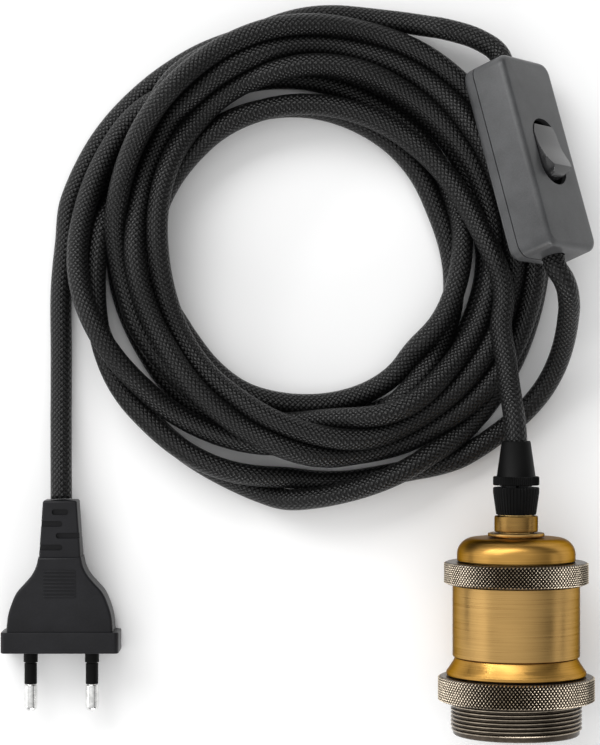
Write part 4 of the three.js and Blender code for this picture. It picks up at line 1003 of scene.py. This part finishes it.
def rocker_button():
    end = ROCKER_LENGTH / 2
    steps, end_steps = 24, 6
    crown = end - ROCKER_END_SLOPE - 0.4 * MM
    swing = math.hypot(end, ROCKER_DEPTH)
    start = math.atan2(ROCKER_DEPTH, end)
    stop = math.atan2(ROCKER_TOP - 0.9 * MM, crown + 0.7 * MM)
    end_arc = []
    for i in range(end_steps + 1):
        angle = start + (stop - start) * i / end_steps
        end_arc.append((swing * math.sin(angle), min(swing * math.cos(angle), end)))
    end_arc = [point for point in end_arc if point[0] < ROCKER_TOP - 0.7 * MM]
    side = [(-ROCKER_DEPTH, -end + ROCKER_EDGE), (-ROCKER_DEPTH, end - ROCKER_EDGE)] + end_arc
    for i in range(steps + 1):
        along = crown * (1 - 2 * i / steps)
        lift = abs(along / crown) ** 1.6
        side.append((ROCKER_TOP - ROCKER_HOLLOW * (1 - lift), along))
    side += [(height, -along) for height, along in reversed(end_arc)]
    profile = slab(side, -ROCKER_WIDTH, ROCKER_WIDTH)
    x_to_z = Matrix(((0, 0, 1, 0), (0, 1, 0, 0), (1, 0, 0, 0), (0, 0, 0, 1)))
    bmesh.ops.transform(profile, matrix=x_to_z, verts=profile.verts)
    bmesh.ops.recalc_face_normals(profile, faces=profile.faces)
    base = new_object("rocker_side", profile)
    outline = slab(stadium(ROCKER_WIDTH, ROCKER_LENGTH, ROCKER_WIDTH / 2 - 0.05 * MM, 12), -4 * MM, 8 * MM)
    work = carved(base, [("INTERSECT", new_object("rocker_outline", outline))])
    rims = [edge for edge in work.edges if edge.is_manifold and edge.calc_face_angle() > math.radians(40)
            and edge.verts[0].co.z > ROCKER_TOP - 2.5 * MM]
    round_off(work, rims, ROCKER_EDGE, 4)
    lift_up = Matrix.Translation((0, 0, ROCKER_AXIS_HEIGHT))
    rest = switch_place @ lift_up @ Matrix.Rotation(-ROCKER_TILT, 4, "X")
    bmesh.ops.transform(work, matrix=rest, verts=work.verts)
    return finished("rocker_button", work, "rocker", gloss_black, sharp=35,
                    stands_for=("switch_rocker",))


rocker = rocker_button()

# %% [markdown]
# The plug is one moulding: a flat flange, a bell-shaped body, and a tail with slots that let it bend
# with the cord. On the real one a band of the flange and a patch below the tail carry printing,
# and they are left plain here. Fine ribs on both sides help the fingers.

# %% Plug body
PLUG_PLACE = Vector((-136.5, -20.9, 6.85)) * MM
PLUG_CURVE = [(16.2, 3.6), (15.9, 9.0), (15.2, 12.9), (13.2, 17.9), (10.4, 21.2), (8.4, 23.6), (7.1, 26.2),
              (6.45, 29.0)]
PLUG_HALF_THICKNESS = 6.0 * MM
TAIL_FOOT = 6.25 * MM
TAIL_END = 5.15 * MM
TAIL_SLOT_START = 31.0 * MM
TAIL_SLOT_PITCH = 3.55 * MM
TAIL_SLOT = 1.75 * MM
TAIL_SLOT_SPANS = [(-9.0, 0.8), (-1.2, 9.0), (-9.0, 0.8), (-2.4, 2.6)]
plug_frame = Matrix.Translation(PLUG_PLACE)
tail_end = PLUG_TAIL.y - PLUG_PLACE.y - 0.3 * MM


def plug_body():
    curve = smooth_points([Vector((x, y, 0)) * MM for x, y in PLUG_CURVE], 1.0 * MM)
    right = [(point[0], point[1]) for point in curve]
    left = [(-x, y) for x, y in reversed(right)]
    bell = slab(right + left, -PLUG_HALF_THICKNESS, PLUG_HALF_THICKNESS, 2.2 * MM, 6)
    flange = slab(stadium(35.6 * MM, 13.7 * MM, 1.6 * MM), 0, 6.4 * MM, 0.35 * MM, 2)
    bmesh.ops.rotate(flange, cent=(0, 0, 0), matrix=Matrix.Rotation(-math.pi / 2, 3, "X"), verts=flange.verts)
    tail_outline = [(TAIL_FOOT, 24 * MM), (TAIL_FOOT, 30 * MM), (TAIL_END, tail_end - 0.4 * MM),
                    (TAIL_END - 0.4 * MM, tail_end), (-TAIL_END + 0.4 * MM, tail_end),
                    (-TAIL_END, tail_end - 0.4 * MM), (-TAIL_FOOT, 30 * MM), (-TAIL_FOOT, 24 * MM)]
    tail = slab(tail_outline, -TAIL_END, TAIL_END, 1.6 * MM)
    tools = [("UNION", new_object("plug_flange", flange)), ("UNION", new_object("plug_tail", tail))]
    for i, (first, last) in enumerate(TAIL_SLOT_SPANS):
        place = TAIL_SLOT_START + i * TAIL_SLOT_PITCH + TAIL_SLOT / 2
        for side in (-1, 1):
            slot = slab(stadium((last - first) * MM, TAIL_SLOT, TAIL_SLOT / 2 - 0.02 * MM), 0, 6 * MM)
            middle = (first + last) / 2 * MM
            low = 3.8 * MM if side > 0 else -9.8 * MM
            bmesh.ops.translate(slot, verts=slot.verts, vec=(middle, place, low))
            tools.append(("DIFFERENCE", new_object("plug_slot", slot)))
    seat = slab(stadium(24.8 * MM, 12.4 * MM, 0.2 * MM, 2), -3.55 * MM, 3.55 * MM)
    bmesh.ops.translate(seat, verts=seat.verts, vec=(0, 5.1 * MM, 0))
    tools.append(("DIFFERENCE", new_object("plug_seat", seat)))
    work = carved(new_object("plug_bell", bell), tools)
    bmesh.ops.transform(work, matrix=plug_frame, verts=work.verts)
    return finished("moulded_plug", work, "cord_set", black_satin, sharp=30,
                    stands_for=("plug_body",))


def plug_ribs():
    """Eight thin ribs on each side of the plug, as one piece."""
    work = bmesh.new()
    for i in range(8):
        for side in (-1, 1):
            rib = slab(stadium(9.7 * MM, 0.5 * MM, 0.2 * MM, 2), -0.4 * MM, 0.35 * MM, 0.12 * MM, 2)
            spot = (0, (17.2 + 1.08 * i) * MM, side * PLUG_HALF_THICKNESS)
            bmesh.ops.translate(rib, verts=rib.verts, vec=spot)
            scratch = bpy.data.meshes.new("rib")
            rib.to_mesh(scratch)
            rib.free()
            work.from_mesh(scratch)
            bpy.data.meshes.remove(scratch)
    bmesh.ops.transform(work, matrix=plug_frame, verts=work.verts)
    return finished("plug_grip_ribs", work, "cord_set", black_satin, sharp=30)


plug = plug_body()
ribs = plug_ribs()

# %% [markdown]
# The two pins are 4 mm thick. Black sleeves cover all but their tips, which are nickel plated and
# rounded. A thin line of bare metal shows between each sleeve and its wider foot.

# %% Plug pins
PIN_SPACING = 18.6 * MM
PIN_RADIUS = 2.0 * MM
PIN_TIP = -18.2 * MM
PIN_FOOT = 9.0 * MM
SLEEVE_BORE = 1.5 * MM


def plated_metal(name, light, dark, roughness):
    desk = NodeDesk(name)
    haze = desk.noise(desk.object_place(), 700, 3.0)
    desk.paint(desk.ramp(haze, (0.35, dark), (0.65, light)))
    desk.roughen(desk.math("MULTIPLY_ADD", haze, 0.15, roughness - 0.07))
    desk.set(Metallic=1.0)
    return desk.material


nickel = plated_metal("bright_nickel", (0.86, 0.86, 0.85), (0.7, 0.7, 0.69), 0.18)


def pin_turned(name, section, side, node, material):
    """A piece turned round a pin's axis: (radius, along) from the flange's face."""
    work = spun(section, 40, height=0)
    bmesh.ops.translate(work, verts=work.verts, vec=PLUG_PLACE + Vector((side * PIN_SPACING / 2, 0, 0)))
    return finished(name, work, "cord_set", material, sharp=30, stands_for=(node,))


def pin_pieces(side, label):
    steps = 8
    tip = [(0, PIN_TIP)]
    for i in range(1, steps + 1):
        angle = math.pi / 2 * i / steps
        tip.append((PIN_RADIUS * math.sin(angle), PIN_TIP + PIN_RADIUS * (1 - math.cos(angle))))
    pin = tip + [(PIN_RADIUS, -10.2 * MM), (1.9 * MM, -10.05 * MM), (1.2 * MM, -10.05 * MM),
                 (1.2 * MM, PIN_FOOT), (0, PIN_FOOT)]
    sleeve = [(SLEEVE_BORE, -9.8 * MM), (1.8 * MM, -9.8 * MM), (1.9 * MM, -9.7 * MM), (1.9 * MM, -3.6 * MM),
              (1.65 * MM, -3.5 * MM), (1.65 * MM, -3.25 * MM), (2.05 * MM, -3.2 * MM), (2.15 * MM, -3.1 * MM),
              (2.15 * MM, -0.3 * MM), (SLEEVE_BORE, -0.3 * MM)]
    return [
        pin_turned("pin_tip_" + label, pin, side, "plug_pin_" + label, nickel),
        pin_turned("pin_cover_" + label, sleeve, side, "pin_sleeve_" + label, black_matte),
    ]


pins = pin_pieces(-1, "left") + pin_pieces(1, "right")

# %% [markdown]
# The pieces inside the holder, the switch and the plug keep their solids, because their shapes are
# right. They show through the socket's mouth and whenever someone takes the part to pieces, so each
# gets the finish of its own metal, ceramic or plastic.

# %% Inner pieces
def glazed_porcelain():
    desk = NodeDesk("glazed_porcelain")
    cloud = desk.noise(desk.object_place(), 150, 3.0)
    desk.paint(desk.ramp(cloud, (0.3, (0.72, 0.69, 0.62)), (0.7, (0.86, 0.84, 0.79))))
    desk.set(Roughness=0.3, Coat_Weight=0.5, Coat_Roughness=0.1)
    desk.bump(cloud, 0.05 * MM, 0.4)
    return desk.material


INNER_FINISHES = {
    "plain_brass": plated_metal("plain_bright_brass", (0.72, 0.5, 0.2), (0.55, 0.36, 0.13), 0.3),
    "steel": plated_metal("zinc_plated_steel", (0.72, 0.73, 0.74), (0.5, 0.51, 0.53), 0.3),
    "porcelain": glazed_porcelain(),
    "black_plastic": black_satin,
    "grey_plastic": grey_grain,
    "rocker_plastic": gloss_black,
    "aged_brass": brass,
    "dark_bronze": brass,
    "cord_braid": grey_grain,
    "brown_wire": moulded_plastic("brown_insulation", (0.16, 0.06, 0.025), 0.4, 0.5 * MM, 0.01 * MM),
    "blue_wire": moulded_plastic("blue_insulation", (0.02, 0.09, 0.33), 0.4, 0.5 * MM, 0.01 * MM),
}
slot_of = {part["node"]: part["material_slot"] for part in frame["record"]["subparts"]}
for name, piece in nodes.items():
    finish_here = INNER_FINISHES[slot_of[name]]
    for place_here in piece.material_slots:
        place_here.material = finish_here
print("inner nodes finished", len(nodes))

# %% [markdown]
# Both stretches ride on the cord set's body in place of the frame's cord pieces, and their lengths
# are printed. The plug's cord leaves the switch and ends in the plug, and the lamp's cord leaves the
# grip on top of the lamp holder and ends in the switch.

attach(plug_cord, "cord_set")
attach(lamp_cord, "cord_set")
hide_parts("cord_coil", "plug_lead", "switch_lead_in")
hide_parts("switch_lead_out", "holder_lead")
print("cords", round(plug_cord_length, 3), round(lamp_cord_length, 3))
